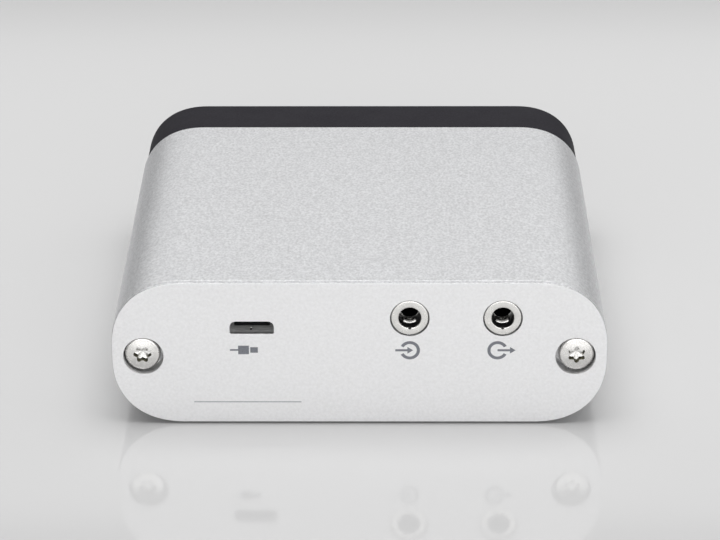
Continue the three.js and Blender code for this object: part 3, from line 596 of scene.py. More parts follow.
def add_rails(sleeve):
    """Rails inside the sleeve, with a groove for the main board and a bore for each tie screw."""
    inner, outer = 30 * MM, 38 * MM
    below_screw, above_board = 3.3 * MM, 1.6 * MM
    groove = 1.5 * MM
    bore_radius = 1.7 * MM
    board_low, board_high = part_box("main_board")
    front = CAP_BACK_Y + 4.7 * MM
    back = PANEL_BACK_Y - 0.4 * MM
    for screw, side in SCREW_SIDES.items():
        axis = centre(screw)
        x_limits = sorted((side * inner, side * outer))
        rail = block(
            "rail",
            (x_limits[0], front, axis.z - below_screw),
            (x_limits[1], back, board_high.z + above_board),
        )
        groove_limits = sorted((side * (inner - OVERSHOOT), side * (inner + groove)))
        slot = block(
            "groove",
            (groove_limits[0], front - OVERSHOOT, board_low.z - FIT_GAP),
            (groove_limits[1], back + OVERSHOOT, board_high.z + FIT_GAP),
        )
        length = back - front + 2 * OVERSHOOT
        bore = rod("bore", (axis.x, front - OVERSHOOT, axis.z), bore_radius, 0, length, steps=32)
        cut(rail, slot, bore)
        join(sleeve, rail)


def cut_foot_pockets(sleeve):
    for foot in [name for name in frame["nodes"] if name.startswith("foot_")]:
        low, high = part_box(foot)
        radius = (high.x - low.x) / 2 + FIT_GAP
        top = high.z + FIT_GAP
        at = ((low.x + high.x) / 2, (low.y + high.y) / 2, low.z)
        cut(sleeve, rod("pocket", at, radius, -OVERSHOOT, top - low.z, axis="Z", steps=48))


def through_hole(at, radius, chamfer, length):
    """A cutting tool for a round hole from the panel's face inwards, with a chamfered mouth."""
    profile = [
        (0, -length),
        (radius, -length),
        (radius, -chamfer),
        (radius + chamfer + OVERSHOOT, OVERSHOOT),
        (0, OVERSHOOT),
    ]
    return lathe("hole", profile, (at[0], FACE_Y, at[2]))


USB_SHELL_WALL = 0.3 * MM
USB_TOP_CORNER = 1.1 * MM
USB_BOTTOM_CORNER = 0.4 * MM
USB_FACE_WALL = 0.8 * MM
USB_SHELL_SETBACK = 0.02 * MM


def usb_ring(grow, y):
    """The micro-USB opening's outline, made larger all round by grow."""
    middle = centre("usb_shell")
    size = extent("usb_shell")
    width = size.x - 2 * USB_SHELL_WALL + 2 * grow
    height = size.z - 2 * USB_SHELL_WALL + 2 * grow
    cuts = (USB_TOP_CORNER + grow / 2, USB_BOTTOM_CORNER + grow / 2)
    return [(middle.x + x, y, middle.z + z) for x, z in rounded_rectangle(width, height, cuts)]


def make_rear_panel():
    edge = 0.08 * MM
    flange_inset = JOINT_GAP / 2
    spigot_inset = SLEEVE_WALL + FIT_GAP
    flange_back = REAR_Y - PANEL_FLANGE
    face_margin = 0.6 * MM
    profile = [
        (spigot_inset + face_margin, PANEL_BACK_Y),
        (spigot_inset, PANEL_BACK_Y, edge),
        (spigot_inset, flange_back),
        (flange_inset, flange_back, edge / 2),
        (flange_inset, FACE_Y, edge),
        (flange_inset + face_margin, FACE_Y),
    ]
    panel = loft("rear_panel_plate", housing_rings(rounded(profile, guard=EDGE_GUARD)))
    depth = FACE_Y - PANEL_BACK_Y + OVERSHOOT
    hole_radius = extent("input_jack_bushing").x / 2 + 0.12 * MM
    mouth = 0.03 * MM
    for jack in ("input_jack_bushing", "output_jack_bushing"):
        cut(panel, through_hole(centre(jack), hole_radius, mouth, depth))
    opening = [(0, -depth), (0, -mouth), (mouth + OVERSHOOT, OVERSHOOT)]
    pocket = [(0.5 * MM, -depth), (0.5 * MM, -USB_FACE_WALL)]
    for steps in (opening, pocket):
        cut(panel, loft("opening", [usb_ring(grow, FACE_Y + along) for grow, along in steps]))
    for screw, side in SCREW_SIDES.items():
        axis = centre(screw)
        bore_x = side * COUNTERBORE_X
        cut(panel, through_hole((bore_x, 0, axis.z), COUNTERBORE_RADIUS, mouth, COUNTERBORE_DEPTH))
        cut(panel, through_hole(axis, SHANK_HOLE_RADIUS, 0, depth))
    smooth(panel)
    finish_piece(panel, "blasted_aluminium", "rear_panel", looks=PANEL_LOOKS)
    mark_machined_faces(panel)


COUNTERBORE_X = 34 * MM
COUNTERBORE_RADIUS = 3.16 * MM
COUNTERBORE_DEPTH = 2.65 * MM
SHANK_HOLE_RADIUS = 1.7 * MM


PANEL_LOOKS = [PANEL_LOOK, COUNTERBORE_LOOK, SLOT_LOOK, RIM_SHADE_LOOK, SLEEVE_LOOK]


def mark_machined_faces(panel):
    """Gives the counterbores, the socket's opening, the rim's rounding and the rim their own looks. The
    rounding's look is darker, painted shade against its highlight.
    """
    screw_z = centre("tie_screw_left").z
    usb_low, usb_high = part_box("usb_shell")
    face_skin = 0.035 * MM
    for face in panel.data.polygons:
        middle = face.center
        if FACE_Y - middle.y < face_skin and abs(face.normal.y) > 0.9:
            continue
        if math.hypot(abs(middle.x) - COUNTERBORE_X, middle.z - screw_z) < COUNTERBORE_RADIUS + FIT_GAP:
            face.material_index = 1
        if usb_low.x < middle.x < usb_high.x and usb_low.z < middle.z < usb_high.z:
            face.material_index = 2
        elif abs(face.normal.y) < 0.9 and face.material_index == 0:
            # The rim's rounded edges take the darker rim look, painted shade against their highlight; its
            # flat sides take the sleeve's tone.
            face.material_index = 3 if face.normal.y > 0.1 else 4


def make_front_cap():
    edge = 0.6 * MM
    margin = 0.8 * MM
    outside = [
        (CAP_INSET + margin, FRONT_Y),
        (CAP_INSET, FRONT_Y, edge),
        (CAP_INSET, CAP_BACK_Y, 0.12 * MM),
        (CAP_INSET + margin, CAP_BACK_Y),
    ]
    cap = loft("front_cap_shell", housing_rings(rounded(outside, steps=6)))
    inner = CAP_INSET + CAP_SIDE_WALL
    cavity = [(inner, FRONT_Y + CAP_FACE_WALL), (inner, CAP_BACK_Y + OVERSHOOT)]
    cut(cap, loft("cavity", housing_rings(cavity)))
    lip_outer = SLEEVE_WALL + FIT_GAP
    lip_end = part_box("front_cap")[1].y
    lip = [
        (lip_outer, CAP_BACK_Y - OVERSHOOT),
        (lip_outer, lip_end, 0.3 * MM),
        (lip_outer + LIP_WALL, lip_end, 0.3 * MM),
        (lip_outer + LIP_WALL, CAP_BACK_Y - OVERSHOOT),
    ]
    join(cap, loft("lip", housing_rings(rounded(lip, closed=True)), looped=True))
    add_bosses(cap)
    cut_front_holes(cap)
    smooth(cap)
    finish_piece(cap, "black_cap", "front_cap")


def add_bosses(cap):
    """The posts that hold the brass inserts for the tie screws."""
    wall = 1 * MM
    floor = FRONT_Y + CAP_FACE_WALL - OVERSHOOT
    for side in ("left", "right"):
        axis = centre(f"threaded_insert_{side}")
        low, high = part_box(f"threaded_insert_{side}")
        radius = (high.x - low.x) / 2
        length = CAP_BACK_Y - floor
        post = [(0, 0), (radius + wall, 0), (radius + wall, length, 0.3 * MM), (0, length)]
        join(cap, lathe("boss", rounded(post), (axis.x, floor, axis.z), steps=48))
        bottom = low.y - wall
        reach = CAP_BACK_Y - bottom + OVERSHOOT
        cut(cap, rod("insert_hole", (axis.x, bottom, axis.z), radius + FIT_GAP, 0, reach, steps=48))


def cut_front_holes(cap):
    mouth = 0.15 * MM
    length = CAP_FACE_WALL + OVERSHOOT
    holes = {
        "volume_potentiometer": 3.6 * MM,
        "power_button": 2.7 * MM,
        "light_pipe": 1.1 * MM,
        "headphone_jack_bushing": extent("headphone_jack_bushing").x / 2 + FIT_GAP,
    }
    for node, radius in holes.items():
        axis = centre(node)
        profile = [
            (0, -OVERSHOOT),
            (radius + mouth + OVERSHOOT, -OVERSHOOT),
            (radius, mouth),
            (radius, length),
            (0, length),
        ]
        cut(cap, lathe("hole", profile, (axis.x, FRONT_Y, MIDDLE_Z)))


def make_feet():
    for foot in [name for name in frame["nodes"] if name.startswith("foot_")]:
        low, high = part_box(foot)
        radius, height = (high.x - low.x) / 2, high.z - low.z
        profile = [(0, 0), (radius, 0, 0.2 * MM), (radius, height, 0.1 * MM), (0, height)]
        at = ((low.x + high.x) / 2, (low.y + high.y) / 2, low.z)
        piece = smooth(lathe(f"{foot}_pad", rounded(profile), at, axis="Z"))
        finish_piece(piece, "rubber", foot)


# ---------------------------------------------------------------- tie screws

HEAD_HEIGHT = 2.1 * MM
HEAD_CROWN = 0.25 * MM  # how far the head falls away before its rounded edge
HEAD_EDGE = 0.42 * MM
SHANK_RADIUS = 1.4 * MM
RECESS_RADIUS = 1.24 * MM
RECESS_LOBE = 0.2 * MM
RECESS_DEPTH = 1.2 * MM
THREAD_PITCH = 0.5 * MM
THREAD_DEPTH = 0.18 * MM
THREAD_LENGTH = 8 * MM


def recess_tool(axis, crown, turn):
    """A cutting tool for a six-lobe recess with a drilled point, turned by an angle."""
    steps = 96
    floor_share = 0.15
    rings = []
    for share, along in ((1.05, OVERSHOOT), (1, -0.1 * MM), (0.97, -RECESS_DEPTH), (floor_share, -1.45 * MM)):
        ring = []
        for step in range(steps):
            angle = 2 * math.pi * step / steps
            lobe = RECESS_RADIUS + RECESS_LOBE * math.cos(6 * (angle - turn))
            radius = share * (lobe if share > floor_share else RECESS_RADIUS)
            ring.append(turned_point(axis, "Y", radius, angle, crown - axis.y + along))
        rings.append(ring)
    return loft("recess", rings)


def thread_profile(tip):
    """Points up a threaded end, from its tip: a row of crests."""
    points = []
    for turn in range(int(THREAD_LENGTH / THREAD_PITCH)):
        start = tip + 0.4 * MM + turn * THREAD_PITCH
        points.append((SHANK_RADIUS - THREAD_DEPTH, start))
        points.append((SHANK_RADIUS, start + THREAD_PITCH / 2))
    return points


def make_tie_screw(node, side):
    axis = centre(node)
    low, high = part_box(node)
    crown = high.y
    radius = (high.x - low.x) / 2
    seat = crown - HEAD_HEIGHT
    crown_steps, edge_steps = 8, 8
    profile = [(0, low.y), (SHANK_RADIUS - 0.4 * MM, low.y), *thread_profile(low.y)]
    profile += [(SHANK_RADIUS, low.y + THREAD_LENGTH + THREAD_PITCH), (SHANK_RADIUS, seat)]
    profile += [(radius - 0.1 * MM, seat), (radius, seat + 0.1 * MM)]
    for step in range(edge_steps + 1):
        angle = math.pi / 2 * step / edge_steps
        across = radius - HEAD_EDGE * (1 - math.cos(angle))
        profile.append((across, crown - HEAD_CROWN - HEAD_EDGE * (1 - math.sin(angle))))
    flat_radius = radius - HEAD_EDGE
    for step in range(1, crown_steps + 1):
        share = 1 - step / crown_steps
        profile.append((flat_radius * share, crown - HEAD_CROWN * share**2))
    screw = lathe(f"{node}_turned", profile, (axis.x, 0, axis.z), steps=96)
    turn = 0 if side > 0 else math.pi / 6
    cut(screw, recess_tool(axis, crown, turn))
    smooth(screw, 32)
    finish_piece(screw, "screw_steel", node, looks=[SLOT_LOOKS["screw_steel"], RECESS_SHADE_LOOK])
    # The recess walls take the dark look: painted shade in the recess.
    for face in screw.data.polygons:
        below = crown - face.center.y
        if 0.12 * MM < below < RECESS_DEPTH and abs(face.normal.y) < 0.5:
            away = math.hypot(face.center.x - axis.x, face.center.z - axis.z)
            face.material_index = 1 if away < RECESS_RADIUS + 2 * RECESS_LOBE else 0


# ---------------------------------------------------------------- sockets

JACK_BORE_RADIUS = 1.76 * MM
JACK_NOSE_RADIUS = 2.5 * MM
BUSHING_WALL = 0.35 * MM
CONTACT_START = 1.85 * MM  # depths from the bushing's face
CONTACT_END = 4.25 * MM
CONTACT_ROOM_RADIUS = 2.15 * MM


def make_bushing(prefix, out, face):
    """A jack's nickel-plated bushing: a flat ring with soft edges, and a cup behind it."""
    node = f"{prefix}_jack_bushing"
    radius, length = extent(node).x / 2, extent(node).y
    inside = JACK_NOSE_RADIUS + FIT_GAP / 2
    corners = [
        (inside, length),
        (radius, length, 0.1 * MM),
        (radius, 0, 0.22 * MM),
        (JACK_BORE_RADIUS, 0, 0.16 * MM),
        (JACK_BORE_RADIUS, BUSHING_WALL, 0.05 * MM),
        (inside, BUSHING_WALL),
    ]
    profile = [(r, -out * depth) for r, depth in rounded(corners, closed=True)]
    piece = lathe(f"{node}_ring", profile, face, looped=True)
    notch = 0.24 * MM
    at = (face.x, face.y, face.z - JACK_BORE_RADIUS)
    cut(piece, rod("notch", at, notch, -OVERSHOOT, OVERSHOOT, steps=24))
    finish_piece(smooth(piece), "nickel", node)


def make_jack_body(prefix, out, face, body_start):
    """The moulded body behind a bushing, with a stepped bore and terminal grooves down its sides."""
    node = f"{prefix}_jack_body"
    low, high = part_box(node)
    start_y = face.y - out * body_start
    end_y = low.y if out > 0 else high.y
    y_limits = sorted((start_y, end_y))
    body = block(f"{node}_moulding", (low.x, y_limits[0], low.z), (high.x, y_limits[1], high.z))
    soften(body, 0.3 * MM)
    nose_face = BUSHING_WALL + FIT_GAP
    nose = [
        (0, nose_face),
        (JACK_NOSE_RADIUS, nose_face, 0.1 * MM),
        (JACK_NOSE_RADIUS, body_start + OVERSHOOT),
        (0, body_start + OVERSHOOT),
    ]
    join(body, lathe("nose", [(r, -out * depth) for r, depth in rounded(nose)], face))
    end_wall = 0.6 * MM
    bore_end = abs(end_y - face.y) - end_wall
    bore = [
        (0, -OVERSHOOT),
        (JACK_BORE_RADIUS, -OVERSHOOT),
        (JACK_BORE_RADIUS, CONTACT_START),
        (CONTACT_ROOM_RADIUS, CONTACT_START),
        (CONTACT_ROOM_RADIUS, CONTACT_END),
        (JACK_BORE_RADIUS, CONTACT_END),
        (JACK_BORE_RADIUS, bore_end),
        (0, bore_end),
    ]
    cut(body, lathe("bore", [(r, -out * depth) for r, depth in bore], face))
    groove_width, groove_depth = 1.1 * MM, 0.25 * MM
    for share in (0.3, 0.7):
        y = y_limits[0] + share * (y_limits[1] - y_limits[0])
        for x in (low.x, high.x):
            cut(
                body,
                block(
                    "terminal_groove",
                    (x - groove_depth, y - groove_width / 2, low.z - OVERSHOOT),
                    (x + groove_depth, y + groove_width / 2, high.z - 0.9 * MM),
                ),
            )
    finish_piece(smooth(body), "black_plastic", node)


def arc_of(section, face, out, half_angle, steps):
    """Rings of a closed section of (radius, depth) points, swept to both sides of a bore's lowest line."""
    rings = []
    for step in range(steps + 1):
        angle = -math.pi / 2 + half_angle * (2 * step / steps - 1)
        rings.append([turned_point(face, "Y", radius, angle, -out * depth) for radius, depth in section])
    return rings


def make_contact(prefix, out, face):
    """A jack's contact: a thin ring and, in front of it, a short bowed leaf at the bottom of the bore."""
    node = f"{prefix}_jack_contact"
    outer = CONTACT_ROOM_RADIUS - FIT_GAP / 2
    ring_depth, ring_half, ring_radius = 3.6 * MM, 0.13 * MM, 1.5 * MM
    ring = [
        (ring_radius, ring_depth - ring_half, 0.1 * MM),
        (ring_radius, ring_depth + ring_half, 0.1 * MM),
        (outer, ring_depth + ring_half),
        (outer, ring_depth - ring_half),
    ]
    profile = [(r, -out * depth) for r, depth in rounded(ring, closed=True, steps=3)]
    piece = lathe(f"{node}_ring", profile, face, looped=True)
    leaf_start, leaf_end, thickness = 1.93 * MM, 3.1 * MM, 0.12 * MM
    foot, crest, crest_share = 2.0 * MM, 1.4 * MM, 0.42
    bow_steps = 12
    inside, outside = [], []
    for step in range(bow_steps + 1):
        share = step / bow_steps
        rise = share / crest_share if share < crest_share else (1 - share) / (1 - crest_share)
        radius = foot - (foot - crest) * math.sin(math.pi / 2 * rise)
        depth = leaf_start + share * (leaf_end - leaf_start)
        inside.append((radius, depth))
        outside.append((min(radius + thickness, outer), depth))
    section = inside + outside[::-1]
    leaf = loft("leaf", arc_of(section, face, out, math.radians(34), 16))
    back = [
        (foot - thickness, leaf_end - thickness),
        (foot - thickness, ring_depth),
        (outer, ring_depth),
        (outer, leaf_end - thickness),
    ]
    stem = loft("stem", arc_of(back, face, out, math.radians(9), 4))
    join(piece, leaf, stem)
    finish_piece(smooth(piece), "nickel", node)


def make_usb_shell():
    """The folded metal shell: a cup with a seam, a latch hole and a pip in its floor."""
    low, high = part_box("usb_shell")
    lip = 0.1 * MM
    outside = [
        (USB_SHELL_WALL - 0.3 * MM, low.y),
        (USB_SHELL_WALL, low.y + 0.25 * MM),
        (USB_SHELL_WALL, high.y - lip),
        (USB_SHELL_WALL - lip / 2, high.y),
    ]
    inside = [
        (USB_SHELL_SETBACK, low.y + USB_SHELL_WALL),
        (USB_SHELL_SETBACK, high.y - lip),
        (USB_SHELL_SETBACK + lip, high.y + lip),
    ]
    shell = loft("usb_shell_folded", [usb_ring(grow, y) for grow, y in outside])
    cut(shell, loft("inside", [usb_ring(grow, y) for grow, y in inside]))
    middle = centre("usb_shell")
    floor = low.z + USB_SHELL_WALL
    seam = 0.035 * MM
    latch_x, latch_y = middle.x + 0.2 * MM, FACE_Y - 1.84 * MM
    latch_width, latch_length, latch_depth = 0.3 * MM, 0.7 * MM, 0.2 * MM
    latch_low = Vector((latch_x - latch_width / 2, latch_y - latch_length / 2, floor - latch_depth))
    latch_high = Vector((latch_x + latch_width / 2, latch_y + latch_length / 2, floor + seam))
    seam_low = (latch_x - seam, low.y + lip, floor - 2 * seam)
    seam_high = (latch_x + seam, latch_y, floor + seam)
    cut(shell, block("seam", seam_low, seam_high), block("latch", latch_low, latch_high))
    pip_radius, pip_height = 0.16 * MM, 0.2 * MM
    pip = [(0, -pip_height), (pip_radius, -pip_height)]
    for degrees in range(0, 90, 15):
        angle = math.radians(degrees)
        pip.append((pip_radius * math.cos(angle), pip_height * math.sin(angle)))
    pip.append((0, pip_height))
    pip_y = latch_low.y - pip_radius
    join(shell, lathe("pip", pip, (latch_x, pip_y, floor), axis="Z", steps=20))
    looks = [DRAWN_NICKEL_LOOK, SOCKET_LOOK, SLOT_LOOKS["nickel"]]
    finish_piece(smooth(shell), "nickel", "usb_shell", looks=looks)
    for face in shell.data.polygons:
        x, y, z = face.center
        if abs(x - latch_x) > latch_width / 2 + seam / 2:
            continue
        # The latch hole's walls and bottom take the near-black moulding look: painted shade in the hole,
        # which also stands for the dark moulding seen through a latch hole.
        if latch_low.z - seam < z < floor - seam / 2 and latch_low.y - seam < y < latch_high.y + seam:
            face.material_index = 1
        elif z > floor + seam / 2 and math.hypot(x - latch_x, y - pip_y) < 1.2 * pip_radius:
            face.material_index = 2


def make_usb_tongue():
    """The moulded tongue, with its five contact strips let into its underside."""
    low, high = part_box("usb_tongue")
    strip_width, strip_gap, sink = 0.4 * MM, 0.65 * MM, 0.04 * MM
    tongue = soften(block("usb_tongue_moulding", (low.x, low.y, low.z + sink), tuple(high)), 0.12 * MM)
    middle = (low.x + high.x) / 2
    strips = []
    for index in range(-2, 3):
        x = middle + index * strip_gap
        strips.append(
            block(
                "strip",
                (x - strip_width / 2, low.y + 0.1 * MM, low.z),
                (x + strip_width / 2, high.y - 0.3 * MM, low.z + 2 * sink),
            )
        )
    join(tongue, *strips)
    finish_piece(smooth(tongue), "black_plastic", "usb_tongue", looks=[SOCKET_LOOK, SLOT_LOOKS["nickel"]])
    give_look(tongue, 1, lambda face: face.center.z < low.z + sink / 2)


def make_sockets():
    for prefix, out, body_start in (("input", 1, 4 * MM), ("output", 1, 4 * MM), ("headphone", -1, 3.5 * MM)):
        low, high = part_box(f"{prefix}_jack_bushing")
        middle = (low + high) / 2
        face = Vector((middle.x, high.y if out > 0 else low.y, middle.z))
        make_bushing(prefix, out, face)
        make_jack_body(prefix, out, face, body_start)
        make_contact(prefix, out, face)
    make_usb_shell()
    make_usb_tongue()


# ---------------------------------------------------------------- printed marks

INK_THICKNESS = 0.008 * MM
INK_LIFT = 0.004 * MM


def printed(name, outlines):
    """Flat printed shapes on the rear panel, from (u, z) outlines. Facing it, u grows to the right."""
    vertices, faces = [], []
    for outline in outlines:
        count = len(outline)
        start = len(vertices)
        for y in (FACE_Y + INK_LIFT, FACE_Y + INK_LIFT + INK_THICKNESS):
            vertices += [(-u, y, z) for u, z in outline]
        faces.append(tuple(range(start, start + count)))
        faces.append(tuple(range(start + 2 * count - 1, start + count - 1, -1)))
        for i in range(count):
            j = (i + 1) % count
            faces.append((start + i, start + count + i, start + count + j, start + j))
    piece = new_piece(name, vertices, faces)
    finish_piece(piece, None, looks=[INK_LOOK])


def arc_band(at, radius, stroke, start, end, steps=40):
    """The outline of a thick arc, with its angles in degrees."""
    angles = [math.radians(start + (end - start) * i / steps) for i in range(steps + 1)]
    rims = [(radius, a) for a in angles] + [(radius - stroke, a) for a in reversed(angles)]
    return [(at[0] + reach * math.cos(a), at[1] + reach * math.sin(a)) for reach, a in rims]


def arrow(tail, tip, stroke, head_length, head_height):
    """The outline of an arrow that points right, from the tail's u to the tip's u, at one height."""
    (u0, z), u1 = tail, tip
    neck = u1 - head_length
    half, wing = stroke / 2, head_height / 2
    return [
        (u0, z - half),
        (neck, z - half),
        (neck, z - wing),
        (u1, z),
        (neck, z + wing),
        (neck, z + half),
        (u0, z + half),
    ]


def band(u0, u1, z0, z1):
    return [(u0, z0), (u1, z0), (u1, z1), (u0, z1)]


def make_marks():
    floor = SLEEVE_LOW.z
    ring_radius, stroke = 1.6 * MM, 0.5 * MM
    icon_z = floor + 12.75 * MM
    shaft = 0.36 * MM
    head_length, head_height = 0.9 * MM, 1.15 * MM
    input_u = -centre("input_jack_bushing").x
    output_u = -centre("output_jack_bushing").x
    input_ring = (input_u + 0.02 * MM, icon_z)
    output_ring = (output_u - 0.75 * MM, icon_z)
    printed(
        "input_mark",
        [
            arc_band(input_ring, ring_radius, stroke, -152, 152),
            arrow((input_u - 2.25 * MM, icon_z), input_u + 0.55 * MM, shaft, head_length, head_height),
        ],
    )
    printed(
        "output_mark",
        [
            arc_band(output_ring, ring_radius, stroke, 28, 332),
            arrow((output_ring[0], icon_z), output_u + 2.1 * MM, shaft, head_length, head_height),
        ],
    )
    plug_u = -centre("usb_shell").x - 3.5 * MM
    plug_z = floor + 12.8 * MM
    printed(
        "usb_mark",
        [
            band(plug_u, plug_u + 1.3 * MM, plug_z - 0.14 * MM, plug_z + 0.14 * MM),
            band(plug_u + 1.3 * MM, plug_u + 3.0 * MM, plug_z - 0.75 * MM, plug_z + 0.75 * MM),
            band(plug_u + 3.2 * MM, plug_u + 4.4 * MM, plug_z - 0.48 * MM, plug_z + 0.48 * MM),
        ],
    )
    line_z = floor + 3.6 * MM
    printed("ruled_line", [band(-26.2 * MM, -9.2 * MM, line_z - 0.06 * MM, line_z + 0.06 * MM)])


# ---------------------------------------------------------------- front controls


def make_knob():
    low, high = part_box("volume_knob")
    axis = centre("volume_knob")
    radius = (high.x - low.x) / 2
    length = high.y - low.y
    recess, recess_depth = 5.6 * MM, 2.5 * MM
    bore, face_wall = 3.1 * MM, 1.2 * MM
    corners = [
        (0, 0),
        (radius, 0, 0.6 * MM),
        (radius, length, 0.25 * MM),
        (recess, length, 0.1 * MM),
        (recess, length - recess_depth),
        (bore, length - recess_depth),
        (bore, face_wall),
        (0, face_wall),
    ]
    knob = lathe("volume_knob_turned", rounded(corners, steps=6), (axis.x, low.y, MIDDLE_Z), steps=96)
    depth = 0.4 * MM
    pointer = block(
        "pointer",
        (axis.x - 0.4 * MM, low.y - OVERSHOOT, MIDDLE_Z + 3 * MM),
        (axis.x + 0.4 * MM, low.y + depth, MIDDLE_Z + radius + OVERSHOOT),
    )
    screw = centre("knob_set_screw")
    hole_radius, hole_length = 1.1 * MM, radius + OVERSHOOT
    at = (screw.x, screw.y, MIDDLE_Z - hole_length)
    cut(knob, pointer, rod("screw_hole", at, hole_radius, 0, hole_length, axis="Z", steps=32))
    smooth(knob)
    finish_piece(knob, "blasted_aluminium", "volume_knob", body="volume")


def make_power_button():
    low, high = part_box("power_button")
    axis = centre("power_button")
    radius, collar, stem = 2.5 * MM, (high.x - low.x) / 2, 1.2 * MM
    collar_front = FRONT_Y + CAP_FACE_WALL + 0.3 * MM - low.y
    collar_back = collar_front + 1 * MM
    length = high.y - low.y
    corners = [
        (0, 0.12 * MM),
        (radius - 0.5 * MM, 0.02 * MM, 0.3 * MM),
        (radius, 0, 0.35 * MM),
        (radius, collar_front),
        (collar, collar_front, 0.1 * MM),
        (collar, collar_back, 0.1 * MM),
        (stem, collar_back),
        (stem, length, 0.15 * MM),
        (0, length),
    ]
    button = lathe("power_button_turned", rounded(corners), (axis.x, low.y, MIDDLE_Z))
    smooth(button)
    finish_piece(button, "blasted_aluminium", "power_button", body="power")


def make_shaft_and_nut():
    """The potentiometer's shaft with its flat and rotor, and the nut that holds it in the cap."""
    low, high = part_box("volume_shaft")
    axis = centre("volume_knob")
    rotor_radius, rotor_length, shaft_radius = (high.x - low.x) / 2, 1.8 * MM, 3 * MM
    length = high.y - low.y
    corners = [
        (0, 0),
        (shaft_radius, 0, 0.4 * MM),
        (shaft_radius, length - rotor_length),
        (rotor_radius, length - rotor_length, 0.15 * MM),
        (rotor_radius, length, 0.15 * MM),
        (0, length),
    ]
    shaft = lathe("volume_shaft_turned", rounded(corners), (axis.x, low.y, MIDDLE_Z))
    flat_top = MIDDLE_Z - 2.2 * MM
    flat_end = FRONT_Y - 3 * MM
    cut(
        shaft,
        block(
            "flat",
            (axis.x - 2 * shaft_radius, low.y - OVERSHOOT, MIDDLE_Z - 2 * shaft_radius),
            (axis.x + 2 * shaft_radius, flat_end, flat_top),
        ),
    )
    finish_piece(smooth(shaft), "screw_steel", "volume_shaft", body="volume")
    low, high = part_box("potentiometer_nut")
    size = high - low
    radius = max(size.x, size.z) / 2
    turn = 0 if size.x > size.z else math.pi / 6
    chamfer, bore_radius = 0.25 * MM, 3.6 * MM
    rings = []
    for shrink, y in ((chamfer, low.y), (0, low.y + chamfer), (0, high.y - chamfer), (chamfer, high.y)):
        angles = [turn + math.pi / 3 * corner for corner in range(6)]
        reach = radius - shrink
        rings.append([(axis.x + reach * math.cos(a), y, MIDDLE_Z + reach * math.sin(a)) for a in angles])
    nut = loft("potentiometer_nut_hexagon", rings)
    across = size.y + 2 * OVERSHOOT
    cut(nut, rod("bore", (axis.x, low.y - OVERSHOOT, MIDDLE_Z), bore_radius, 0, across))
    finish_piece(smooth(nut), "nickel", "potentiometer_nut")


def make_potentiometer():
    """The sheet-metal body, its threaded bushing and its three legs."""
    low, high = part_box("volume_potentiometer")
    axis = centre("volume_knob")
    half = (high.x - low.x) / 2
    body_front = FRONT_Y + CAP_FACE_WALL + 0.2 * MM
    body_back = body_front + 6.8 * MM
    body = block("volume_potentiometer_can", (low.x, body_front, low.z), (high.x, body_back, high.z))
    soften(body, 0.4 * MM)
    radius, pitch = 3.5 * MM, 0.75 * MM
    thread = [(0, 0)]
    for turn in range(int((body_front - low.y) / pitch)):
        thread += [(radius - 0.25 * MM, turn * pitch), (radius, (turn + 0.5) * pitch)]
    end = body_front - low.y + OVERSHOOT
    thread += [(radius, end), (0, end)]
    join(body, lathe("bushing", thread, (axis.x, low.y, MIDDLE_Z)))
    bore_radius, rotor_radius = 3.08 * MM, 4.1 * MM
    rotor_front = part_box("volume_shaft")[1].y - 1.9 * MM
    bore = [
        (0, low.y - OVERSHOOT),
        (bore_radius, low.y - OVERSHOOT),
        (bore_radius, rotor_front),
        (rotor_radius, rotor_front),
        (rotor_radius, body_back + OVERSHOOT),
        (0, body_back + OVERSHOOT),
    ]
    cut(body, lathe("bore", bore, (axis.x, 0, MIDDLE_Z)))
    leg_width, leg_spacing, leg_thickness = 0.8 * MM, 3 * MM, 0.4 * MM
    for index in (-1, 0, 1):
        x = axis.x + index * leg_spacing
        leg = block(
            "leg",
            (x - leg_width / 2, body_back - OVERSHOOT, MIDDLE_Z - half),
            (x + leg_width / 2, high.y, MIDDLE_Z - half + leg_thickness),
        )
        join(body, leg)
    finish_piece(smooth(body), "screw_steel", "volume_potentiometer")


def make_set_screw():
    low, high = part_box("knob_set_screw")
    radius, length = (high.x - low.x) / 2, high.z - low.z
    pitch, depth = 0.5 * MM, 0.15 * MM
    profile = [(0, 0)]
    for turn in range(int(length / pitch)):
        profile += [(radius - depth, turn * pitch + 0.05 * MM), (radius, (turn + 0.5) * pitch)]
    profile += [(radius - depth, length - 0.1 * MM), (0, length)]
    at = (centre("knob_set_screw").x, centre("knob_set_screw").y, low.z)
    screw = lathe("knob_set_screw_threaded", profile, at, axis="Z", steps=36)
    key, key_depth = 0.5 * MM, 1.2 * MM
    socket = [(0, -OVERSHOOT), (key, -OVERSHOOT), (key, key_depth), (0, key_depth + key / 2)]
    cut(screw, lathe("socket", socket, at, axis="Z", steps=6))
    finish_piece(smooth(screw), "screw_steel", "knob_set_screw", body="volume")


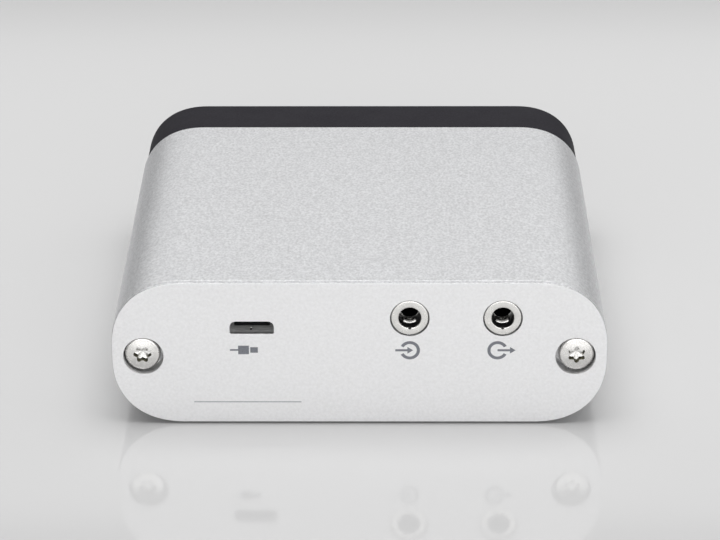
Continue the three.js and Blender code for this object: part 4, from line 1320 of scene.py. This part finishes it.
def make_switch():
    """The tact switch behind the power button: its moulded base, its metal cover and its plunger."""
    low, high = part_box("power_switch")
    axis = centre("power_button")
    plunger_low, plunger_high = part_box("switch_plunger")
    radius = (plunger_high.x - plunger_low.x) / 2
    cover = 0.3 * MM
    base = soften(block("base", (low.x, low.y + cover, low.z), tuple(high)), 0.2 * MM)
    inset = 0.25 * MM
    plate = soften(
        block(
            "plate",
            (low.x + inset, low.y, low.z + inset),
            (high.x - inset, low.y + cover + inset, high.z - inset),
        ),
        0.15 * MM,
    )
    join(base, plate)
    well_radius, well_depth = radius + 0.15 * MM, 3 * MM
    cut(base, rod("well", (axis.x, low.y, MIDDLE_Z), well_radius, -OVERSHOOT, well_depth))
    base.name = "power_switch_base"
    looks = [SLOT_LOOKS["black_plastic"], SLOT_LOOKS["nickel"]]
    finish_piece(smooth(base), "black_plastic", "power_switch", looks=looks)
    give_look(base, 1, lambda face: face.center.y < low.y + cover / 2)
    length = plunger_high.y - plunger_low.y
    corners = [(0, 0), (radius, 0, 0.3 * MM), (radius, length, 0.1 * MM), (0, length)]
    plunger = lathe("switch_plunger_moulding", rounded(corners), (axis.x, plunger_low.y, MIDDLE_Z))
    finish_piece(smooth(plunger), "black_plastic", "switch_plunger", body="power")


def make_lamp():
    """The lamp, with a domed lens over a flange, and the light pipe in front of it."""
    low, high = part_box("status_led")
    axis = centre("status_led")
    radius, length, flange = 1.5 * MM, high.y - low.y, 1 * MM
    profile = [(0, 0)]
    for step in range(1, 11):
        angle = math.pi / 2 * step / 10
        profile.append((radius * math.sin(angle), radius * (1 - math.cos(angle))))
    flange_radius = (high.x - low.x) / 2
    profile += rounded([
        (radius, length - flange),
        (flange_radius, length - flange, 0.1 * MM),
        (flange_radius, length, 0.1 * MM),
        (0, length),
    ])
    lamp = lathe("status_led_lens", profile, (axis.x, low.y, MIDDLE_Z))
    finish_piece(smooth(lamp), "clear_plastic", "status_led")
    low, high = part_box("light_pipe")
    radius, collar, length = 1 * MM, (high.x - low.x) / 2, high.y - low.y
    collar_start = CAP_FACE_WALL + FIT_GAP
    corners = [
        (0, 0),
        (radius, 0, 0.15 * MM),
        (radius, collar_start),
        (collar, collar_start, 0.1 * MM),
        (collar, length, 0.1 * MM),
        (0, length),
    ]
    pipe = lathe("light_pipe_moulding", rounded(corners), (axis.x, low.y, MIDDLE_Z))
    finish_piece(smooth(pipe), "clear_plastic", "light_pipe")


def make_inserts():
    """Knurled brass inserts with a plain groove round the middle."""
    flutes, flute_depth, steps = 24, 0.12 * MM, 96
    for side in ("left", "right"):
        low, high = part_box(f"threaded_insert_{side}")
        axis = centre(f"threaded_insert_{side}")
        radius, length, bore = (high.x - low.x) / 2, high.y - low.y, 1.5 * MM
        middle, groove = length / 2, 0.3 * MM
        corners = [
            (bore, 0),
            (radius, 0, 0.15 * MM),
            (radius, middle - 0.5 * MM),
            (radius - groove, middle - 0.3 * MM),
            (radius - groove, middle + 0.3 * MM),
            (radius, middle + 0.5 * MM),
            (radius, length, 0.15 * MM),
            (bore, length),
        ]
        rings = []
        for reach, along in rounded(corners, closed=True):
            ring = []
            for step in range(steps):
                angle = 2 * math.pi * step / steps
                knurled = reach > radius - groove / 2
                dip = flute_depth * (1 + math.cos(flutes * angle)) / 2 if knurled else 0
                ring.append(turned_point((axis.x, low.y, axis.z), "Y", reach - dip, angle, along))
            rings.append(ring)
        insert = loft(f"threaded_insert_{side}_knurled", rings, looped=True)
        finish_piece(smooth(insert, 50), "brass", f"threaded_insert_{side}")


# ---------------------------------------------------------------- boards and what is on them


def gather(name, parts, slot, node, looks):
    """One piece from several shells, each given as a (piece, index of its look) pair."""
    vertices, faces, indices = [], [], []
    for part, index in parts:
        start = len(vertices)
        vertices += [tuple(vertex.co) for vertex in part.data.vertices]
        for face in part.data.polygons:
            faces.append([start + corner for corner in face.vertices])
            indices.append(index)
        bpy.data.objects.remove(part)
    piece = smooth(new_piece(name, vertices, faces))
    finish_piece(piece, slot, node, looks=looks)
    for face, index in zip(piece.data.polygons, indices):
        face.material_index = index
    return piece


def tower(name, low, high, corner, levels):
    """An upright block with rounded corners, through (inset, height above its foot) levels."""
    rings = []
    for inset, height in levels:
        outline = rectangle(low.x + inset, low.y + inset, high.x - inset, high.y - inset, corner)
        rings.append([(x, y, low.z + height) for x, y in outline])
    return loft(name, rings)


def gull_wing(root, outward, length, width, rise):
    """A bent lead from a chip's side, down to a foot on the board. Root is under its start, at the board."""
    along = Vector((-outward.y, outward.x, 0))
    thickness = 0.15 * MM
    outline = [
        (-0.1 * MM, rise + thickness),
        (0.35 * length, rise + thickness),
        (0.6 * length, thickness),
        (length, thickness),
        (length, 0),
        (0.45 * length, 0),
        (0.22 * length, rise),
        (-0.1 * MM, rise),
    ]
    up = Vector((0, 0, 1))
    rings = []
    for side in (-width / 2, width / 2):
        rings.append([root + outward * reach + along * side + up * height for reach, height in outline])
    return loft("lead", [[tuple(point) for point in ring] for ring in rings])


RIGHT, LEFT, BACK, FRONT = (1, 0), (-1, 0), (0, 1), (0, -1)


def chip_rows(sides, count, pitch, width):
    """Rows of leads as (outward direction, number of leads, pitch, lead width), alike on each side."""
    return [(side, count, pitch, width) for side in sides]


CHIPS = {  # length of a lead, and the rows
    "usb_receiver_chip": (1.0 * MM, chip_rows((RIGHT, LEFT, BACK, FRONT), 12, 0.5 * MM, 0.22 * MM)),
    "dac_chip": (0.8 * MM, chip_rows((BACK, FRONT), 14, 0.65 * MM, 0.28 * MM)),
    "headphone_amplifier_chip": (0.75 * MM, chip_rows((BACK, FRONT), 4, 1.27 * MM, 0.4 * MM)),
    "voltage_regulator": (0.8 * MM, [(BACK, 3, 2.3 * MM, 0.75 * MM), (FRONT, 1, 0, 3 * MM)]),
}


def make_chips():
    """Moulded packages with bent leads. Returns each foot's place, direction, length and width."""
    feet = []
    stand_off, body_corner = 0.1 * MM, 0.12 * MM
    dot_radius, dot_depth, dot_inset = 0.28 * MM, 0.08 * MM, 0.8 * MM
    for node, (lead_length, rows) in CHIPS.items():
        low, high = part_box(node)
        middle = (low + high) / 2
        half = (high - low) / 2
        body_low, body_high = low.copy(), high.copy()
        body_low.z += stand_off
        parts = []
        rise = 0.42 * (high.z - low.z)
        for (across, forward), count, pitch, width in rows:
            outward = Vector((across, forward, 0))
            along = Vector((-forward, across, 0))
            reach = (half.x if across else half.y) - lead_length
            for index in range(count):
                offset = (index - (count - 1) / 2) * pitch
                root = Vector((middle.x, middle.y, low.z)) + outward * reach + along * offset
                parts.append((gull_wing(root, outward, lead_length, width, rise), 1))
                feet.append((root + outward * 0.75 * lead_length, outward, lead_length, width))
            axis = 0 if across else 1
            if across + forward > 0:
                body_high[axis] -= lead_length
            else:
                body_low[axis] += lead_length
        height = body_high.z - body_low.z
        slope = 0.1 * MM
        levels = [(slope, 0), (0, 0.45 * height), (0, 0.55 * height), (slope, height)]
        body = tower("body", body_low, body_high, body_corner, levels)
        mouth_radius = dot_radius + dot_depth / 2
        dot = [(0, -dot_depth), (dot_radius, -dot_depth), (mouth_radius, OVERSHOOT), (0, OVERSHOOT)]
        at = (body_low.x + dot_inset, body_low.y + dot_inset, body_high.z)
        cut(body, lathe("dot", dot, at, axis="Z", steps=20))
        looks = [SLOT_LOOKS["chip"], SLOT_LOOKS["nickel"]]
        gather(f"{node}_package", [(body, 0), *parts], "chip", node, looks)
    return feet


def make_oscillators():
    for node in ("oscillator_44k", "oscillator_48k"):
        low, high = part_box(node)
        height = high.z - low.z
        base_levels = [(0, 0), (0, 0.45 * height), (0.15 * MM, 0.5 * height)]
        lid_low = low + Vector((0.25 * MM, 0.25 * MM, 0.5 * height))
        lid_high = high - Vector((0.25 * MM, 0.25 * MM, 0))
        lid_levels = [(0, 0), (0, 0.38 * height), (0.1 * MM, 0.47 * height), (0.2 * MM, 0.5 * height)]
        base = tower("base", low, high, 0.3 * MM, base_levels)
        lid = tower("lid", lid_low, lid_high, 0.35 * MM, lid_levels)
        looks = [SLOT_LOOKS["can_aluminium"], SLOT_LOOKS["chip"]]
        gather(f"{node}_can", [(lid, 0), (base, 1)], "can_aluminium", node, looks)


def make_moulded_components():
    """The relay, the film capacitors and the inductor."""
    low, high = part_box("mute_relay")
    height = high.z - low.z
    seam = 0.9 * MM
    levels = [(0.1 * MM, 0), (0, 0.1 * MM)]
    levels += [(0, seam), (0.1 * MM, seam + 0.03 * MM), (0.1 * MM, seam + 0.15 * MM), (0, seam + 0.2 * MM)]
    levels += [(0, height - 0.25 * MM), (0.08 * MM, height - 0.08 * MM), (0.25 * MM, height)]
    relay = smooth(tower("mute_relay_case", low, high, 0.4 * MM, levels))
    finish_piece(relay, "relay_plastic", "mute_relay")
    for node in ("film_capacitor_left", "film_capacitor_right"):
        low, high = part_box(node)
        height = high.z - low.z
        levels = [(0.5 * MM, 0), (0.2 * MM, 0.12 * MM), (0.05 * MM, 0.4 * MM), (0, 0.9 * MM)]
        levels += [(0, height - 0.9 * MM), (0.08 * MM, height - 0.35 * MM), (0.25 * MM, height - 0.1 * MM)]
        levels += [(0.6 * MM, height)]
        capacitor = smooth(tower(f"{node}_dipped", low, high, 0.9 * MM, levels), 50)
        finish_piece(capacitor, "red_film", node)
    low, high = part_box("power_inductor")
    height = high.z - low.z
    levels = [(0.1 * MM, 0), (0, 0.1 * MM), (0, height - 0.3 * MM), (0.12 * MM, height)]
    inductor = tower("power_inductor_ferrite", low, high, 1.3 * MM, levels)
    inner, outer, depth = 2.1 * MM, 2.35 * MM, 0.25 * MM
    groove = [(inner, -depth), (outer, -depth), (outer, OVERSHOOT), (inner, OVERSHOOT)]
    middle = centre("power_inductor")
    cut(inductor, lathe("groove", groove, (middle.x, middle.y, high.z), axis="Z", looped=True))
    finish_piece(smooth(inductor), "chip", "power_inductor")


ELECTROLYTICS = [f"{use}_capacitor_{side}" for use in ("supply", "output") for side in ("left", "right")]


def make_cans():
    """Electrolytic capacitors that hang under the board, with a crimp by the seal and a scored free end."""
    for name in ELECTROLYTICS:
        low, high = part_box(name)
        middle = (low + high) / 2
        radius, height = (high.x - low.x) / 2, high.z - low.z
        crimp, rim = height - 1.8 * MM, 0.35 * MM
        corners = [
            (0, 0),
            (radius, 0, 0.5 * MM),
            (radius, crimp - 0.6 * MM, 0.25 * MM),
            (radius - 0.45 * MM, crimp, 0.25 * MM),
            (radius, crimp + 0.6 * MM, 0.25 * MM),
            (radius, height - rim, 0.2 * MM),
            (radius - 0.5 * MM, height, 0.2 * MM),
            (radius - 0.9 * MM, height - rim),
            (0, height - rim),
        ]
        can = lathe(f"{name}_can", rounded(corners), (middle.x, middle.y, low.z), axis="Z")
        half, half_width, depth = 2.6 * MM, 0.12 * MM, 0.08 * MM
        for reach_x, reach_y in ((half, half_width), (half_width, half)):
            score_low = (middle.x - reach_x, middle.y - reach_y, low.z - OVERSHOOT)
            score_high = (middle.x + reach_x, middle.y + reach_y, low.z + depth)
            cut(can, block("score", score_low, score_high))
        looks = [SLOT_LOOKS["can_aluminium"], SLOT_LOOKS["rubber"]]
        finish_piece(smooth(can), "can_aluminium", name, looks=looks)
        for face in can.data.polygons:
            inside = math.hypot(face.center.x - middle.x, face.center.y - middle.y) < radius - 0.9 * MM
            if face.center.z > high.z - rim - depth and inside:
                face.material_index = 1


def make_header():
    low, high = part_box("board_header")
    count, pitch, pin = 8, 2.2 * MM, 0.64 * MM
    proud = 0.15 * MM
    body_high = high - Vector((0, 0, proud))
    height = body_high.z - low.z
    levels = [(0.05 * MM, 0), (0, 0.05 * MM), (0, height - 0.1 * MM), (0.1 * MM, height)]
    pin_levels = [(0, 0), (0, 0.2 * MM), (0.1 * MM, 2 * proud)]
    body = tower("body", low, body_high, 0.2 * MM, levels)
    parts = [(body, 0)]
    middle = (low + high) / 2
    for index in range(count):
        x = middle.x + (index - (count - 1) / 2) * pitch
        corner_low = Vector((x - pin / 2, middle.y - pin / 2, body_high.z - proud))
        corner_high = Vector((x + pin / 2, middle.y + pin / 2, high.z))
        parts.append((tower("pin", corner_low, corner_high, 0.1 * MM, pin_levels), 1))
        if index == count - 1:
            break
        notch_low = (x + pitch / 2 - 0.15 * MM, low.y - OVERSHOOT, low.z - OVERSHOOT)
        notch_high = (x + pitch / 2 + 0.15 * MM, low.y + 0.3 * MM, high.z + OVERSHOOT)
        cut(body, block("notch", notch_low, notch_high))
    looks = [SLOT_LOOKS["black_plastic"], SLOT_LOOKS["brass"]]
    gather("board_header_moulding", parts, "black_plastic", "board_header", looks)


def make_boards(lead_feet):
    """The main board, with its corners rounded, plated holes and tinned pads, and the front board."""
    low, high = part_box("main_board")
    thickness = high.z - low.z
    hole_radius = 0.45 * MM
    holes = []
    for node, spread_x, spread_y in (
        ("mute_relay", 2.2, 3.6),
        ("film_capacitor_left", 0, 2.5),
        ("film_capacitor_right", 0, 2.5),
        *((name, 1.75, 0) for name in ELECTROLYTICS),
        ("input_jack_body", 2.4, 4),
        ("output_jack_body", 2.4, 4),
    ):
        middle = centre(node)
        for side_x in ((-1, 1) if spread_x else (0,)):
            for side_y in ((-1, 1) if spread_y else (0,)):
                holes.append((middle.x + side_x * spread_x * MM, middle.y + side_y * spread_y * MM))
    board = tower("board", low, high, 1.2 * MM, [(0, 0), (0, thickness)])
    for x, y in holes:
        cut(board, rod("via", (x, y, low.z), hole_radius, -OVERSHOOT, thickness + OVERSHOOT, "Z", 16))
    copper, pad_reach, pad_border = 0.04 * MM, 0.3, 0.05 * MM
    parts = [(board, 0)]
    for place, outward, length, width in lead_feet:
        along = Vector((-outward.y, outward.x, 0))
        reach = outward * (pad_reach * length + pad_border) + along * (width / 2 + pad_border)
        corners = [place - reach, place + reach]
        pad_low = Vector((min(c.x for c in corners), min(c.y for c in corners), high.z - copper))
        pad_high = Vector((max(c.x for c in corners), max(c.y for c in corners), high.z + copper))
        parts.append((block("pad", pad_low, pad_high), 1))
    ring = [
        (hole_radius, -copper),
        (2 * hole_radius, -copper),
        (2 * hole_radius, thickness + copper),
        (hole_radius, thickness + copper),
    ]
    for x, y in holes:
        parts.append((lathe("land", ring, (x, y, low.z), axis="Z", steps=20, looped=True), 1))
    looks = [SLOT_LOOKS["circuit_board"], SLOT_LOOKS["nickel"]]
    gather("main_board_etched", parts, "circuit_board", "main_board", looks)
    low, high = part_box("front_board")
    corner, depth = 1.5 * MM, high.y - low.y
    outline = rectangle(low.x, low.z, high.x, high.z, corner)
    front = loft("front_board_etched", [[(x, y, z) for x, z in outline] for y in (low.y, high.y)])
    pot, switch, lamp = centre("volume_knob").x, centre("power_switch").x, centre("status_led").x
    leg_z = MIDDLE_Z - 4.7 * MM
    drills = [(pot + offset * MM, leg_z) for offset in (-3, 0, 3)]
    for side in (-1, 1):
        drills += [(switch + side * 3.3 * MM, MIDDLE_Z + level * 2.25 * MM) for level in (-1, 1)]
    drills += [(lamp + side * 1.27 * MM, MIDDLE_Z) for side in (-1, 1)]
    for x, z in drills:
        cut(front, rod("drill", (x, low.y, z), hole_radius, -OVERSHOOT, depth + OVERSHOOT, steps=16))
    finish_piece(smooth(front), "circuit_board", "front_board")


# ---------------------------------------------------------------- stage

CAMERA_ELEVATION = 25.0
CAMERA_TURN = 0.456  # degrees, from straight behind the object
CAMERA_ROLL = -0.195
CAMERA_DISTANCE = 427.4 * MM
CAMERA_LENS = 137.89
CAMERA_TARGET = Vector((-0.143 * MM, REAR_Y, 26.97 * MM))


def make_camera():
    elevation, turn, roll = (math.radians(a) for a in (CAMERA_ELEVATION, CAMERA_TURN, CAMERA_ROLL))
    flat = math.cos(elevation)
    forward = Vector((math.sin(turn) * flat, -math.cos(turn) * flat, -math.sin(elevation)))
    right = Vector((-math.cos(turn), -math.sin(turn), 0))
    up = right.cross(forward)
    rolled_right = right * math.cos(roll) + up * math.sin(roll)
    rolled_up = up * math.cos(roll) - right * math.sin(roll)
    data = bpy.data.cameras.new("camera")
    data.lens = CAMERA_LENS
    data.clip_start = 0.01
    data.clip_end = 20
    camera = bpy.data.objects.new("camera", data)
    SCENE.collection.objects.link(camera)
    place = CAMERA_TARGET - forward * CAMERA_DISTANCE
    axes = Matrix((rolled_right, rolled_up, -forward)).transposed()
    camera.matrix_world = Matrix.Translation(place) @ axes.to_4x4()
    SCENE.camera = camera


def softbox(name, place, target, size, power):
    data = bpy.data.lights.new(name, "AREA")
    data.shape = "RECTANGLE"
    data.size, data.size_y = size
    data.energy = power
    light = bpy.data.objects.new(name, data)
    SCENE.collection.objects.link(light)
    light.location = place
    toward = Vector(target) - Vector(place)
    light.rotation_euler = toward.to_track_quat("-Z", "Y").to_euler()


def make_stage():
    half = 3.0
    corners = [(-half, -half, 0), (half, -half, 0), (half, half, 0), (-half, half, 0)]
    floor = new_piece("floor", corners, [(0, 1, 2, 3)])
    floor.data.materials.append(floor_material())
    world = bpy.data.worlds.new("studio")
    world.use_nodes = True
    world.node_tree.nodes["Background"].inputs["Color"].default_value = (1, 1, 1, 1)
    world.node_tree.nodes["Background"].inputs["Strength"].default_value = 0.221
    SCENE.world = world
    aim = (0, 0, 0.01)
    softbox("overhead", (0, 0, 1), aim, (1.2, 1.0), 6.3)
    softbox("overhead_near", (0, 0, 0.7), aim, (0.5, 0.5), 2.0)
    softbox("backdrop_glow", (0, -1.3, 0.6), aim, (1.8, 0.35), 1.7)
    softbox("right", (-0.9, 0, 0.6), aim, (0.9, 0.9), 1.15)
    softbox("behind_right", (-0.8, -0.7, 0.7), aim, (0.9, 0.9), 0.95)
    softbox("behind_left", (0.8, -0.7, 0.7), aim, (0.9, 0.9), 0.55)
    softbox("camera_high", (0, 1.2, 0.56), aim, (1.4, 0.4), 3.6)
    softbox("camera_low", (-0.15, 1.3, 0.2), aim, (1.6, 0.3), 3.6)
    SCENE.view_settings.view_transform = "Standard"


colour_cad_nodes()
make_camera()
make_stage()
make_sleeve()
make_rear_panel()
make_front_cap()
make_feet()
for screw_node, screw_side in SCREW_SIDES.items():
    make_tie_screw(screw_node, screw_side)
make_sockets()
make_marks()
make_knob()
make_power_button()
make_shaft_and_nut()
make_potentiometer()
make_set_screw()
make_switch()
make_lamp()
make_inserts()
chip_feet = make_chips()
make_oscillators()
make_moulded_components()
make_cans()
make_header()
make_boards(chip_feet)

bpy.context.view_layer.update()
